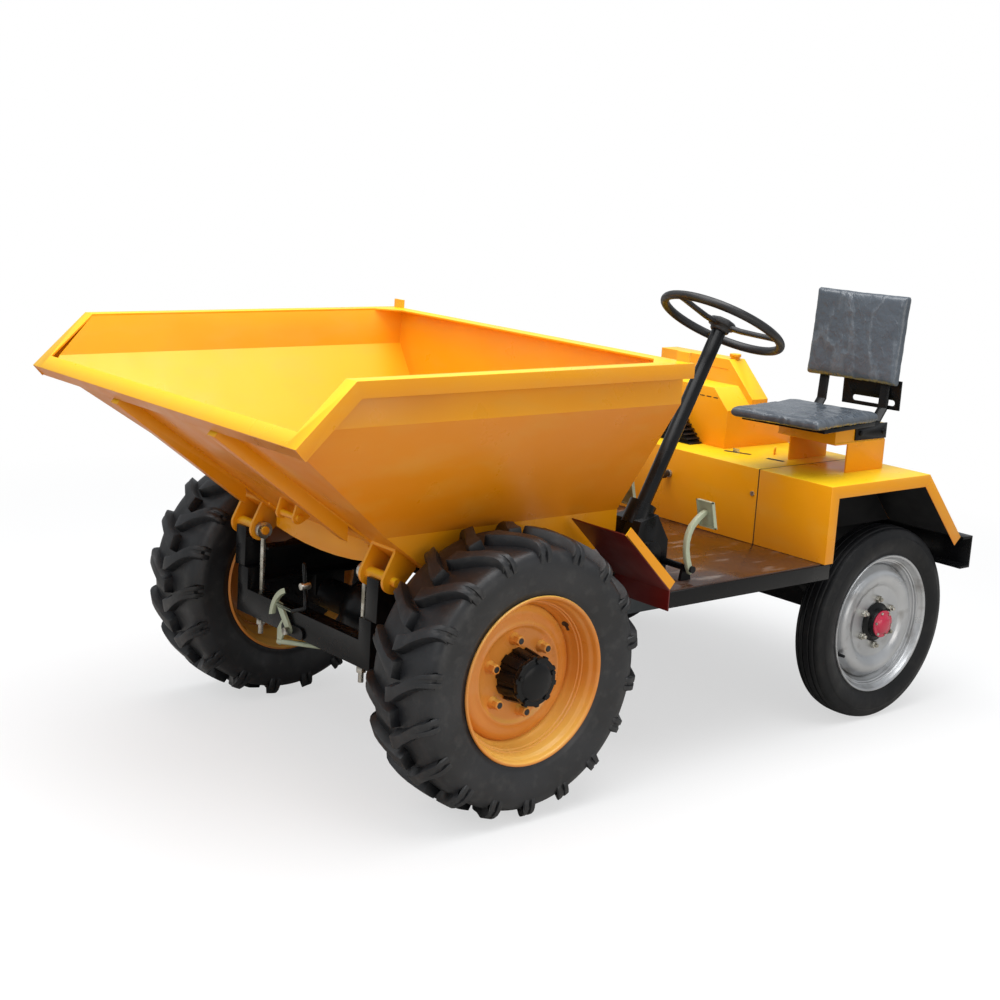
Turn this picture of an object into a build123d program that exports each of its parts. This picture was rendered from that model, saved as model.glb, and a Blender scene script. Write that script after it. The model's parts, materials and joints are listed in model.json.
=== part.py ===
from build123d import *
import math
import os

os.makedirs("parts", exist_ok=True)

# ---- driving dimensions, mm: +X to the skip's lip, +Y to the machine's left, ground at Z 0 ----
HALF_LENGTH = 1300          # lip and rear beam stand this far either side of the middle
X_FRONT = 566               # front axle
WHEELBASE = 1480
X_REAR = X_FRONT - WHEELBASE
FRONT_R, FRONT_W = 378, 258          # drive tyre to the lug tips, and its section width
REAR_R, REAR_W = 308, 110            # steered tyre
FRONT_OUT = 694                      # outer side of the drive tyre
REAR_OUT = 636                       # outer side of the steered tyre
FRONT_RIM_R, REAR_RIM_R = 223, 220   # rim flanges
RAIL_IN, RAIL_OUT = 250, 300         # channel rails of the frame
RAIL_Z0, RAIL_Z1 = 440, 540
FLOOR_Z = 545                        # top of the operator's floor
DECK_Z = 780                         # top of the rear body
WALL_X = X_FRONT - 1130              # front wall of the rear body
FLOOR_X = X_FRONT - 500              # front edge of the floor
BODY_W = 660                         # half width of the rear body and its fenders
PIVOT_X, PIVOT_Z = X_FRONT + 233, 594    # skip pivot
RIM_Z = 1169                         # top of the skip's rim
SKIP_REAR = X_FRONT - 497
T = 5                                # skip plate
SHEET = 3                            # body sheet
KING_Y = REAR_OUT - 181              # kingpins
ARM = 120                            # steering arms
STEER_Y = BODY_W - 220               # centre line of the column and its box
SEAT_X, SEAT_Y, SEAT_TURN = X_FRONT - 1249, BODY_W - 228, 8       # seat, turned a little to the left


def xz_plate(points, y0, y1, mode=Mode.ADD):
    """Outline drawn in X and Z, standing from y0 to y1."""
    with BuildSketch(Plane.XZ.offset(-y1)) as outline:
        Polygon(*points, align=None)
    extrude(outline.sketch, amount=y1 - y0, mode=mode)


def yz_plate(points, x0, x1, mode=Mode.ADD):
    """Outline drawn in Y and Z, standing from x0 to x1."""
    with BuildSketch(Plane.YZ.offset(x0)) as outline:
        Polygon(*points, align=None)
    extrude(outline.sketch, amount=x1 - x0, mode=mode)


def block(x0, x1, y0, y1, z0, z1, mode=Mode.ADD):
    with Locations(((x0 + x1) / 2, (y0 + y1) / 2, (z0 + z1) / 2)):
        Box(x1 - x0, y1 - y0, z1 - z0, mode=mode)


def along_y(x, z, y0, y1, radius, mode=Mode.ADD):
    """Round bar lying across the machine."""
    with Locations(Location((x, (y0 + y1) / 2, z), (90, 0, 0))):
        Cylinder(radius, abs(y1 - y0), mode=mode)


def upright(x, y, z0, z1, radius, mode=Mode.ADD):
    with Locations((x, y, (z0 + z1) / 2)):
        Cylinder(radius, z1 - z0, mode=mode)


def turned(points, x, z, mode=Mode.ADD):
    """Body of revolution about an axle at x, z: points are radius and y."""
    with BuildSketch(Plane.YZ.offset(x)) as outline:
        with Locations((0, z)):
            Polygon(*[(y, r) for r, y in points], align=None)
    revolve(outline.sketch, axis=Axis((x, 0, z), (0, 1, 0)), mode=mode)


def along_x(y, z, x0, x1, radius, mode=Mode.ADD):
    """Round bar lying fore and aft."""
    with Locations(Location(((x0 + x1) / 2, y, z), (0, 90, 0))):
        Cylinder(radius, x1 - x0, mode=mode)


def rod(start, end, radius):
    """Straight round bar from one place to another."""
    run = Vector(*end) - Vector(*start)
    with BuildSketch(Plane(origin=start, z_dir=run)) as across:
        Circle(radius)
    extrude(across.sketch, amount=run.length)


def band(path, t):
    """Closed outline of a sheet t thick on the left-hand side of an open path."""
    legs = [((x1 - x0), (z1 - z0), math.hypot(x1 - x0, z1 - z0)) for (x0, z0), (x1, z1) in zip(path, path[1:])]
    normals = [(-dz / n, dx / n) for dx, dz, n in legs]
    inner = []
    for i, (x, z) in enumerate(path):
        a, b = normals[max(i - 1, 0)], normals[min(i, len(normals) - 1)]
        scale = t / (1 + a[0] * b[0] + a[1] * b[1])
        inner.append((x + (a[0] + b[0]) * scale, z + (a[1] + b[1]) * scale))
    return path + inner[::-1]


def keep(builder, name):
    builder.part.label = name
    export_step(builder.part, f"parts/{name}.step")


# ---- skip: tub of plate, folded rim, under-frames that carry it on its two pivot pins ----
SOLE_Z, BAND_Z, CREASE_Z = 618, 725, 1055      # sole, top of the lower band, outer crease
LOW_Y, TOP_Y = 420, 631                        # half widths at the lower and upper bands
SOLE_X = X_FRONT + 147                         # where the sole turns up into the front plate
LIP_X, LIP_Z = HALF_LENGTH - 29, 1022          # top of the front plate
FRONT_SLOPE = (LIP_Z - SOLE_Z) / (LIP_X - SOLE_X)
RIM_X = X_FRONT + 578                          # where the rim turns down towards the lip
EDGE_X, EDGE_Z = HALF_LENGTH, 1025             # outer edge of the lip
CUT_SLOPE = (RIM_Z - EDGE_Z) / (EDGE_X - RIM_X)


def front_plate_z(x):
    return SOLE_Z + (x - SOLE_X) * FRONT_SLOPE


def tub(inset, raise_by):
    """The tub's volume, each wall moved in by inset and the open top moved up by raise_by."""
    rise = inset * math.hypot(1, FRONT_SLOPE)
    z0 = SOLE_Z + inset
    nose_z = front_plate_z(LIP_X) + rise
    side = (LOW_Y - inset, TOP_Y - inset)
    lean = inset * 0.3
    with BuildSketch(Plane.XZ.offset(-700)) as profile:
        Polygon((SKIP_REAR + inset, z0), (SOLE_X + (inset - rise) / FRONT_SLOPE, z0),
                (LIP_X, nose_z), (LIP_X + raise_by, nose_z + raise_by * FRONT_SLOPE + raise_by),
                (RIM_X, RIM_Z - T + raise_by), (SKIP_REAR + inset, RIM_Z - T + raise_by), align=None)
    solid = extrude(profile.sketch, amount=1400, mode=Mode.PRIVATE)
    with BuildSketch(Plane.YZ.offset(SKIP_REAR - 10)) as section:
        Polygon((-side[0], z0 - 1), (side[0], z0 - 1), (side[0], BAND_Z + lean), (side[1], CREASE_Z + lean),
                (side[1], RIM_Z + raise_by), (-side[1], RIM_Z + raise_by), (-side[1], CREASE_Z + lean),
                (-side[0], BAND_Z + lean), align=None)
    return solid & extrude(section.sketch, amount=2000, mode=Mode.PRIVATE)


with BuildPart() as skip_shell:
    add(tub(0, 0))
    # cross plate with a bowed lower edge under the front plate, and the two latch lugs with their pin
    x0 = X_FRONT + 200
    top, depth, rise = front_plate_z(x0), 66, 17
    bow = [(y, top - depth + rise * (y / 216) ** 2) for y in (-224, -150, -75, 0, 75, 150, 224)]
    yz_plate(bow + [(224, top + T), (-224, top + T)], x0, x0 + 8)
    x0, x1 = X_FRONT + 262, X_FRONT + 314
    pin_x, pin_z = X_FRONT + 310, front_plate_z(X_FRONT + 310) - 38
    for y in (-40, 40):
        xz_plate([(x0, front_plate_z(x0) + 2), (x1, front_plate_z(x1) + 2), (pin_x + 17, pin_z + 2),
                  (pin_x - 7, pin_z - 15.5)], y - 4, y + 4)
        along_y(pin_x, pin_z, y - 4, y + 4, 17)
    along_y(pin_x, pin_z, -52, 52, 9)
    add(tub(T, 60), mode=Mode.SUBTRACT)
keep(skip_shell, "skip_shell")

FLANGE = 40                                    # rim flange: its width and its depth
cut_len = math.hypot(EDGE_X - RIM_X, RIM_Z - EDGE_Z)
NX, NZ = (RIM_Z - EDGE_Z) / cut_len, (EDGE_X - RIM_X) / cut_len      # normal of the sloping rim


def rim_path(drop):
    """The rim's side line moved down by drop: rear end, corner, lip end."""
    turn = RIM_X - drop * (1 - NZ) / NX
    return (SKIP_REAR, RIM_Z - drop), (turn, RIM_Z - drop), (EDGE_X - drop * NX, EDGE_Z - drop * NZ)


with BuildPart() as skip_rim:
    for side in (1, -1):
        y_in, y_out = TOP_Y - T, TOP_Y + FLANGE
        a, b, c = rim_path(0)
        d, e, f = rim_path(FLANGE)
        y0, y1 = sorted((side * y_in, side * y_out))
        xz_plate([a, b, c, f, e, d], y0, y1)
        a, b, c = rim_path(T)
        d, e, f = rim_path(FLANGE + 30)
        y0, y1 = sorted((side * (y_in - 5), side * (y_out - T)))
        xz_plate([a, b, c, f, e, d], y0, y1, Mode.SUBTRACT)
    # rear strip with its turned-down inner edge
    block(SKIP_REAR, SKIP_REAR + 50, -TOP_Y + T, TOP_Y - T, RIM_Z - T, RIM_Z)
    block(SKIP_REAR + 50 - T, SKIP_REAR + 50, -TOP_Y + T, TOP_Y - T, RIM_Z - 30, RIM_Z)
    # lip bar, lying along the top of the front plate
    lip = [(EDGE_X, EDGE_Z), (EDGE_X - 45 * NZ, EDGE_Z + 45 * NX), (EDGE_X - 45 * NZ, LIP_Z + 9),
           (LIP_X, LIP_Z), (LIP_X, front_plate_z(LIP_X)), (EDGE_X - 32, EDGE_Z - 29)]
    xz_plate(lip, -TOP_Y - FLANGE, TOP_Y + FLANGE)
    # corner gussets and the two small tabs at the rear
    for side in (1, -1):
        with BuildSketch(Plane.XY.offset(RIM_Z - T)):
            Polygon((SKIP_REAR + 49, side * (TOP_Y - T)), (SKIP_REAR + 110, side * (TOP_Y - T)),
                    (SKIP_REAR + 49, side * (TOP_Y - T - 60)), align=None)
        extrude(amount=T)
        block(SKIP_REAR + 4, SKIP_REAR + 12, side * 635 - 22, side * 635 + 22, RIM_Z - 1, RIM_Z + 26)
    add(tub(0, 0), mode=Mode.SUBTRACT)
keep(skip_rim, "skip_rim")

RIB_Y, RIB_W, RIB_D = 250, 36, 50
EAR_Y, EAR_T = (270, 370), 10
PIN_R, TUBE_R = 12, 18
for label, side in (("left", 1), ("right", -1)):
    with BuildPart() as underframe:
        x0, x1 = X_FRONT + 306, LIP_X - 24
        rib = [(x0, front_plate_z(x0)), (x1, front_plate_z(x1)),
               (x1 + 20, front_plate_z(x1) - RIB_D * 0.45), (x0 + 25, front_plate_z(x0 + 25) - RIB_D),
               (x0, front_plate_z(x0) - RIB_D)]
        y0, y1 = sorted((side * (RIB_Y - RIB_W / 2), side * (RIB_Y + RIB_W / 2)))
        xz_plate(rib, y0, y1)
        # pad over the ears, with a strip under the front plate that ties the rib to it
        x2, x3, x4 = X_FRONT + 163, X_FRONT + 228, X_FRONT + 330
        xz_plate([(x2, front_plate_z(x2)), (x4, front_plate_z(x4)),
                  (x4, front_plate_z(x4) - 8), (x2, front_plate_z(x2) - 8)], y0, y1)
        y0, y1 = sorted((side * (RIB_Y - 25), side * (EAR_Y[1] + EAR_T / 2)))
        xz_plate([(x2, front_plate_z(x2)), (x3 + 4, front_plate_z(x3 + 4)),
                  (x3 + 4, front_plate_z(x3 + 4) - 8), (x2, front_plate_z(x2) - 8)], y0, y1)
        for y in EAR_Y:
            # ear: straight edges that run down on to the round end about the pin
            y0, y1 = side * y - EAR_T / 2, side * y + EAR_T / 2
            xz_plate([(x2, front_plate_z(x2) - 1), (x3, front_plate_z(x3) - 1),
                      (PIVOT_X + 29.5, PIVOT_Z + 15), (PIVOT_X - 24, PIVOT_Z - 22.7), (x2, PIVOT_Z + 26)], y0, y1)
            along_y(PIVOT_X, PIVOT_Z, y0, y1, 33)
        along_y(PIVOT_X, PIVOT_Z, side * EAR_Y[0], side * EAR_Y[1], TUBE_R)
        along_y(PIVOT_X, PIVOT_Z, side * 238, side * 394, PIN_R)
    keep(underframe, f"skip_underframe_{label}")


# ---- frame ----
REAR_END = -HALF_LENGTH
RAIL_X0, RAIL_X1 = REAR_END + 48, X_FRONT + 215
UPRIGHT_Z = 480                                # top of the uprights that tie the front beam to the rails
with BuildPart() as frame_rails:
    for side in (1, -1):
        y0, y1 = sorted((side * RAIL_IN, side * RAIL_OUT))
        block(RAIL_X0, RAIL_X1, y0, y1, RAIL_Z0, RAIL_Z1)
        y0, y1 = sorted((side * (RAIL_IN - 5), side * (RAIL_OUT - 6)))
        block(RAIL_X0 - 5, RAIL_X1 + 5, y0, y1, RAIL_Z0 + 7, RAIL_Z1 - 7, Mode.SUBTRACT)
    for x in (X_FRONT - 230, X_FRONT - 640, X_REAR - 250):
        block(x - 30, x + 30, -RAIL_OUT + 3, RAIL_OUT - 3, RAIL_Z0 + 10, RAIL_Z0 + 60)
    for x in (X_FRONT - 1250, X_FRONT - 1390):      # bearers under the engine
        block(x - 25, x + 25, -RAIL_OUT, RAIL_OUT, RAIL_Z0 - 30, RAIL_Z0)
    # rests that the skip's sole sits on, and the open saddles of its pivot
    for side in (1, -1):
        y0, y1 = sorted((side * RAIL_IN, side * RAIL_OUT))
        block(X_FRONT - 400, X_FRONT - 330, y0, y1, RAIL_Z1 - 4, SOLE_Z)
        y0, y1 = sorted((side * (RAIL_OUT - 1), side * 350))
        xz_plate([(PIVOT_X - 45, RAIL_Z0 + 10), (RAIL_X1, RAIL_Z0 + 10), (RAIL_X1, UPRIGHT_Z),
                  (PIVOT_X + 30, UPRIGHT_Z), (PIVOT_X + 28, PIVOT_Z), (PIVOT_X - 28, PIVOT_Z)], y0, y1)
        along_y(PIVOT_X, PIVOT_Z, y0 - 1, y1 + 1, TUBE_R + 0.05, Mode.SUBTRACT)
    # channel across the rear end
    block(REAR_END, REAR_END + 50, -BODY_W, BODY_W, 452, 557)
    block(REAR_END + 6, REAR_END + 51, -BODY_W - 1, BODY_W + 1, 460, 549, Mode.SUBTRACT)
    for side in (1, -1):
        y0, y1 = sorted((side * RAIL_IN, side * RAIL_OUT))
        block(REAR_END + 5, REAR_END + 60, y0, y1, 459, 550)
    # outriggers and edge angles that carry the floor
    w = BODY_W - 12
    for side in (1, -1):
        y0, y1 = sorted((side * RAIL_OUT, side * w))
        block(WALL_X - 40, FLOOR_X + 4, y0, y1, 495, FLOOR_Z - 5)
        y0, y1 = sorted((side * (RAIL_OUT - 1), side * (w - 5)))
        block(WALL_X - 35, FLOOR_X - 1, y0, y1, 494, FLOOR_Z - 10, Mode.SUBTRACT)
        y0, y1 = sorted((side * RAIL_OUT, side * (w - 45)))
        block(WALL_X - 36, FLOOR_X - 42, y0, y1, 494, FLOOR_Z - 4, Mode.SUBTRACT)
        y0, y1 = sorted((side * RAIL_OUT, side * (w - 4)))
        block(X_FRONT - 850, X_FRONT - 810, y0, y1, 500, FLOOR_Z - 5)
keep(frame_rails, "frame_rails")

BEAM_X0, BEAM_X1, BEAM_Z0, BEAM_Z1 = X_FRONT + 215, X_FRONT + 265, 345, 418
ROD_Y = 251
with BuildPart() as front_crossbeam:
    block(BEAM_X0, BEAM_X1, -330, 330, BEAM_Z0, BEAM_Z1)
    block(BEAM_X0 - 1, BEAM_X1 - 7, -331, 331, BEAM_Z0 + 7, BEAM_Z1 - 7, Mode.SUBTRACT)
    for side in (1, -1):
        y0, y1 = sorted((side * 277, side * 330))
        block(BEAM_X0, BEAM_X1, y0, y1, BEAM_Z1 - 1, UPRIGHT_Z)
        y0, y1 = sorted((side * 300, side * 330))
        block(BEAM_X0, BEAM_X1 - 6, y0, y1, BEAM_Z0 + 1, BEAM_Z1 - 1)
        upright(PIVOT_X, side * ROD_Y, BEAM_Z0 - 5, BEAM_Z1 + 5, 8, Mode.SUBTRACT)
keep(front_crossbeam, "front_crossbeam")

for label, side in (("left", 1), ("right", -1)):
    with BuildPart() as eye_rod:
        along_y(PIVOT_X, PIVOT_Z, side * (ROD_Y - 8), side * (ROD_Y + 8), 24)
        upright(PIVOT_X, side * ROD_Y, 290, PIVOT_Z - 15, 7.5)
        for z in (BEAM_Z0 - 13, BEAM_Z0 - 27):
            with BuildSketch(Plane.XY.offset(z)):
                with Locations((PIVOT_X, side * ROD_Y)):
                    RegularPolygon(14, 6)
            extrude(amount=13)
        along_y(PIVOT_X, PIVOT_Z, side * (ROD_Y - 9), side * (ROD_Y + 9), PIN_R + 0.06, Mode.SUBTRACT)
    keep(eye_rod, f"eye_rod_{label}")

with BuildPart() as skip_latch:
    # oval plate on the front of the beam, with a lever and its curved handle on one pivot bolt
    x0 = BEAM_X1
    with BuildSketch(Plane.YZ.offset(x0)):
        with Locations((-27, 362)):
            SlotOverall(106, 33)
    extrude(amount=8)
    along_x(-33, 362, x0 + 7, x0 + 30, 10)
    yz_plate([(-41, 354), (-25, 370), (-76, 428), (-98, 432), (-94, 414)], x0 + 8, x0 + 15)
    with BuildSketch(Plane.YZ.offset(x0 + 12)) as handle:
        with BuildLine():
            RadiusArc((-121, 388), (-47, 481), 110)
            Line((-47, 481), (-41, 468))
            RadiusArc((-41, 468), (-106, 392), -96)
            Line((-106, 392), (-121, 388))
        make_face()
    extrude(amount=12)
    # strap down from the plate, bar on from its foot to the underside of the beam
    yz_plate([(-104, 305), (-88, 305), (-70, 350), (-62, 378), (-84, 378), (-104, 350)], x0, x0 + 6)
    rod((x0 + 6, -97, 313), (x0 - 37, 78, 337), 7)
    # bent rod from the lever to the fork, and the pull rod above it
    bends = [(x0 + 18, -88, 424), (x0 + 20, -10, 424), (x0 + 14, 46, 446), (x0 + 8, 31, 503), (x0 + 4, 16, 559)]
    for start, end in zip(bends, bends[1:]):
        rod(start, end, 5)
        with Locations(end):
            Sphere(5)
    along_x(31, 503, x0 - 6, x0 + 22, 9)
keep(skip_latch, "skip_latch")

# ---- front axle, driveline, engine ----
SPINDLE_R, SPINDLE_END = 35, 525               # ends of the axle shafts, which the hubs sit on
with BuildPart() as front_axle:
    along_y(X_FRONT, FRONT_R, -425, 425, 46)
    with Locations((X_FRONT, 0, FRONT_R)):
        Sphere(112)
    for side in (1, -1):
        y0, y1 = sorted((side * RAIL_IN, side * RAIL_OUT))
        block(X_FRONT - 50, X_FRONT + 50, y0, y1, FRONT_R, RAIL_Z0)
        along_y(X_FRONT, FRONT_R, side * 380, side * 432, 130)
        along_y(X_FRONT, FRONT_R, side * 430, side * (SPINDLE_END - 0.5), SPINDLE_R)
    with Locations(Location((X_FRONT - 110, 0, FRONT_R), (0, 90, 0))):
        Cylinder(50, 90)
keep(front_axle, "front_axle")

with BuildPart() as driveline:
    x0, x1 = X_FRONT - 720, X_FRONT - 155
    with Locations(Location(((x0 + x1) / 2, 0, FRONT_R), (0, 90, 0))):
        Cylinder(32, x1 - x0)
    for x in (x1 - 12, x0 + 12):
        with Locations(Location((x, 0, FRONT_R), (0, 90, 0))):
            Cylinder(56, 24)
    block(X_FRONT - 1180, X_FRONT - 720, -150, 150, 300, 500)
keep(driveline, "driveline")

with BuildPart() as engine_block:
    block(X_FRONT - 1630, X_FRONT - 1180, -240, 40, RAIL_Z0, DECK_Z - 10)
    block(X_FRONT - 1630, X_FRONT - 1300, -240, 40, RAIL_Z0, 880)
keep(engine_block, "engine_block")

# ---- rear body ----
TAIL_X = X_FRONT - 1600
SEAM_Y = 376
body_line = [(TAIL_X - 200, 560), (TAIL_X, DECK_Z), (WALL_X, DECK_Z), (WALL_X, FLOOR_Z)]
with BuildPart() as rear_body:
    xz_plate(band(body_line, -SHEET), -SEAM_Y + 1, SEAM_Y - 1)
    block(X_FRONT - 1632, X_FRONT - 1290, -335, 75, DECK_Z - 60, DECK_Z + 1, Mode.SUBTRACT)
keep(rear_body, "rear_body")

for label, side in (("left", 1), ("right", -1)):
    with BuildPart() as fender:
        y0, y1 = sorted((side * (SEAM_Y + 1), side * BODY_W))
        xz_plate(band(body_line, -SHEET), y0, y1)
        y0, y1 = sorted((side * (BODY_W - SHEET), side * BODY_W))
        xz_plate(band(body_line, -38), y0, y1)
        y0, y1 = sorted((side * (SEAM_Y + 1), side * (SEAM_Y + 4)))
        xz_plate(body_line + [(WALL_X - 40, FLOOR_Z), (WALL_X - 40, 560)], y0, y1)
    keep(fender, f"fender_{label}")

# steps of the hood from the rear: its ends, its top, and the width of its sloping left shoulder
HOODS = ((X_FRONT - 1640, X_FRONT - 1475, 885, 30), (X_FRONT - 1475, X_FRONT - 1400, 1050, 116),
         (X_FRONT - 1400, X_FRONT - 1285, 970, 66))
HOOD_Y = (-345, 85)


def hood_step(x0, x1, top, shoulder, inset, foot, mode=Mode.ADD):
    """One step of the hood from x0 to x1, its section moved in by inset."""
    y0, y1, z1 = HOOD_Y[0] + inset, HOOD_Y[1] - inset, top - inset
    slope = shoulder - inset * (2 - math.sqrt(2))
    yz_plate([(y0, foot), (y1, foot), (y1, z1 - slope), (y1 - slope, z1), (y0, z1)], x0, x1, mode)


with BuildPart() as engine_hood:
    for x0, x1, top, shoulder in HOODS:
        hood_step(x0, x1, top, shoulder, 0, DECK_Z)
    for x0, x1, top, shoulder in HOODS:
        hood_step(x0 + SHEET, x1 - SHEET, top, shoulder, SHEET, DECK_Z - 1, Mode.SUBTRACT)
    for x, (_, _, top, shoulder) in ((HOODS[1][0], HOODS[0]), (HOODS[2][0], HOODS[2])):
        hood_step(x - SHEET - 1, x + SHEET + 1, top, shoulder, SHEET, DECK_Z - 1, Mode.SUBTRACT)
    # filler neck and its cap
    upright(X_FRONT - 1438, -40, 1048, 1060, 15)
    upright(X_FRONT - 1438, -40, 1057, 1067, 19)
keep(engine_hood, "engine_hood")

with BuildPart() as cooling_louvre:
    # core with blades all round it, their left ends cut to the slope of the hood beside it
    x0, x1, foot = X_FRONT - 1283, X_FRONT - 1224, -8
    rise = 110
    yz_plate([(-330, DECK_Z), (foot - 9, DECK_Z), (foot - rise - 9, DECK_Z + rise - 4), (-330, DECK_Z + rise - 4)],
             x0, x1 - 9)
    for i in range(9):
        z = DECK_Z + 2 + 13 * i
        yz_plate([(-330, z), (foot - (z - DECK_Z), z), (foot - (z + 4 - DECK_Z), z + 4), (-330, z + 4)], x0, x1)
keep(cooling_louvre, "cooling_louvre")

# ---- platform ----
with BuildPart() as floor_plate:
    block(WALL_X, FLOOR_X, -BODY_W + 15, BODY_W - 15, FLOOR_Z - 5, FLOOR_Z)
keep(floor_plate, "floor_plate")

for label, side in (("left", 1), ("right", -1)):
    with BuildPart() as kick_plate:
        y0, y1 = sorted((side * 436, side * 650))
        xz_plate([(FLOOR_X + 4, 488), (FLOOR_X + 8, 488), (FLOOR_X + 8, FLOOR_Z),
                  (X_FRONT - 312, 718), (X_FRONT - 315, 721), (FLOOR_X + 4, FLOOR_Z + 2)], y0, y1)
    keep(kick_plate, f"kick_plate_{label}")

# ---- steering ----
COL_BOT = Vector(X_FRONT - 553, STEER_Y, 690)
COL_TOP = Vector(X_FRONT - 828, STEER_Y, 1219)
COL_UP = (COL_TOP - COL_BOT).normalized()
tilt = math.degrees(math.atan2(-COL_UP.X, COL_UP.Z))
WHEEL_R, WHEEL_BAR = 177, 12.5


def on_column(along):
    """Place on the column's axis, measured from its top end."""
    p = COL_TOP + COL_UP * along
    return Location((p.X, p.Y, p.Z), (0, -tilt, 0))


PEDAL_SHAFT = (X_FRONT - 618, FLOOR_Z + 36)
with BuildPart() as steering_column:
    with Locations(on_column(-(COL_TOP - COL_BOT).length / 2)):
        Cylinder(21, (COL_TOP - COL_BOT).length)
    with Locations(on_column(-(COL_TOP - COL_BOT).length + 20)):
        Cylinder(40, 70)
    xz_plate([(X_FRONT - 505, FLOOR_Z), (X_FRONT - 505, 640), (X_FRONT - 520, 700), (X_FRONT - 585, 715),
              (X_FRONT - 632, 640), (X_FRONT - 632, FLOOR_Z)], STEER_Y - 55, STEER_Y + 55)
    along_y(X_FRONT - 557, 612, STEER_Y + 54, STEER_Y + 72, 33)
    along_y(*PEDAL_SHAFT, STEER_Y - 56, STEER_Y + 56, 11, Mode.SUBTRACT)
keep(steering_column, "steering_column")

with BuildPart() as steering_wheel:
    with Locations(on_column(22)):
        Torus(WHEEL_R, WHEEL_BAR)
    with Locations(on_column(16)):
        Cylinder(34, 31.4)
    for turn in (-10, 110, 230):
        with Locations(on_column(20) * Rot(0, 0, turn) * Pos(WHEEL_R / 2, 0, 0)):
            Box(WHEEL_R, 20, 10)
keep(steering_wheel, "steering_wheel")

with BuildPart() as pedals:
    px, pz = PEDAL_SHAFT
    along_y(px, pz, STEER_Y - 174, STEER_Y + 174, 10)
    for y in (STEER_Y - 160, STEER_Y + 160):
        # lever bent back to the middle of its pad, and the bracket that carries the shaft
        lever = [(px - 12, pz - 14), (px + 10, pz + 28), (px + 14, pz + 80), (px + 2, pz + 120), (px - 48, pz + 154)]
        xz_plate(band(lever, -15), y - 5, y + 5)
        xz_plate([(px - 38, pz + 190), (px - 46, pz + 190), (px - 66, pz + 112), (px - 58, pz + 112)],
                 y - 30, y + 30)
        block(px - 22, px + 22, y - 22, y - 12, FLOOR_Z, pz + 13)
keep(pedals, "pedals")

# ---- seat ----
SEAT_Z = 962
STAND_IN, STAND_OUT = SEAT_Y - 132, SEAT_Y + 93          # inner and outer side of the stand, under the seat
with BuildPart() as seat_stand:
    for y in (STAND_IN, STAND_OUT):
        block(X_FRONT - 1530, X_FRONT - 1350, y - 3, y + 3, DECK_Z, 872)
    block(X_FRONT - 1530, X_FRONT - 1290, STAND_IN - 3, STAND_OUT + 3, 868, 874)
    block(X_FRONT - 1530, X_FRONT - 1290, STAND_IN, STAND_OUT, 873, 924)
keep(seat_stand, "seat_stand")

BACK_Z0, BACK_Z1, BACK_LEAN = 1034, 1322, 0.09          # back rest, leaning back from its lower edge
BAR_T = 7                                                # flat bars that carry it


def back_x(z):
    """Rear face of the back rest, measured from the seat's middle."""
    return -273 - (z - BACK_Z0) * BACK_LEAN


seat_place = Location((SEAT_X, SEAT_Y, 0), (0, 0, SEAT_TURN))
with BuildPart() as seat_frame:
    with Locations(seat_place * Pos(-26, 0, 930)):
        Box(290, 292, 12)
    # black side plate with its two bolts, outside the stand
    block(X_FRONT - 1530, X_FRONT - 1380, STAND_OUT, STAND_OUT + 5, 878, 926)
    for x in (X_FRONT - 1512, X_FRONT - 1402):
        along_y(x, 900, STAND_OUT + 4, STAND_OUT + 11, 8)
    # slotted plate across the two flat bars
    with BuildSketch(Plane.YZ) as plate:
        with Locations((60, 1010)):
            Rectangle(204, 92)
        with Locations((70, 985)):
            SlotOverall(150, 18, mode=Mode.SUBTRACT)
    with Locations(seat_place * Pos(back_x(1010) - 14, 0, 0)):
        add(extrude(plate.sketch, amount=5, mode=Mode.PRIVATE))
    for y in (-110, 110):
        with BuildSketch(Plane(origin=(0, y - 16, 0), x_dir=(1, 0, 0), z_dir=(0, -1, 0))) as bar:
            reach = BAR_T * math.hypot(1, BACK_LEAN)
            Polygon(*band([(-120, 924), (-235, 924), (back_x(965) - reach, 965),
                           (back_x(1100) - reach, 1100)], -BAR_T), align=None)
        add(seat_place * extrude(bar.sketch, amount=-32, mode=Mode.PRIVATE))
keep(seat_frame, "seat_frame")

with BuildPart() as seat_cushion:
    with Locations(seat_place * Pos(0, 0, (936 + SEAT_Z) / 2)):
        Box(360, 328, SEAT_Z - 936)
keep(seat_cushion, "seat_cushion")

with BuildPart() as seat_back:
    with BuildSketch(Plane(origin=(0, 168, 0), x_dir=(1, 0, 0), z_dir=(0, -1, 0))) as back:
        Polygon((back_x(BACK_Z0) + 36, BACK_Z0), (back_x(BACK_Z0), BACK_Z0), (back_x(BACK_Z1), BACK_Z1),
                (back_x(BACK_Z1) + 36, BACK_Z1), align=None)
    add(seat_place * extrude(back.sketch, amount=336, mode=Mode.PRIVATE))
keep(seat_back, "seat_back")

# ---- rear axle and steering linkage ----
with BuildPart() as rear_axle:
    block(X_REAR - 40, X_REAR + 40, -410, 410, REAR_R - 10, REAR_R + 70)
    for side in (1, -1):
        y0, y1 = sorted((side * 408, side * (KING_Y + 24)))
        block(X_REAR - 30, X_REAR + 30, y0, y1, REAR_R + 40, REAR_R + 60)
        block(X_REAR - 30, X_REAR + 30, y0, y1, REAR_R - 60, REAR_R - 40)
        y0, y1 = sorted((side * 400, side * 425))
        block(X_REAR - 30, X_REAR + 30, y0, y1, REAR_R - 60, REAR_R + 60)
    for side in (1, -1):
        y0, y1 = sorted((side * RAIL_IN, side * RAIL_OUT))
        block(X_REAR - 60, X_REAR + 60, y0, y1, REAR_R + 60, RAIL_Z0)
    for side in (1, -1):
        upright(X_REAR, side * KING_Y, REAR_R - 61, REAR_R + 61, 12.06, Mode.SUBTRACT)
keep(rear_axle, "rear_axle")

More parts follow.
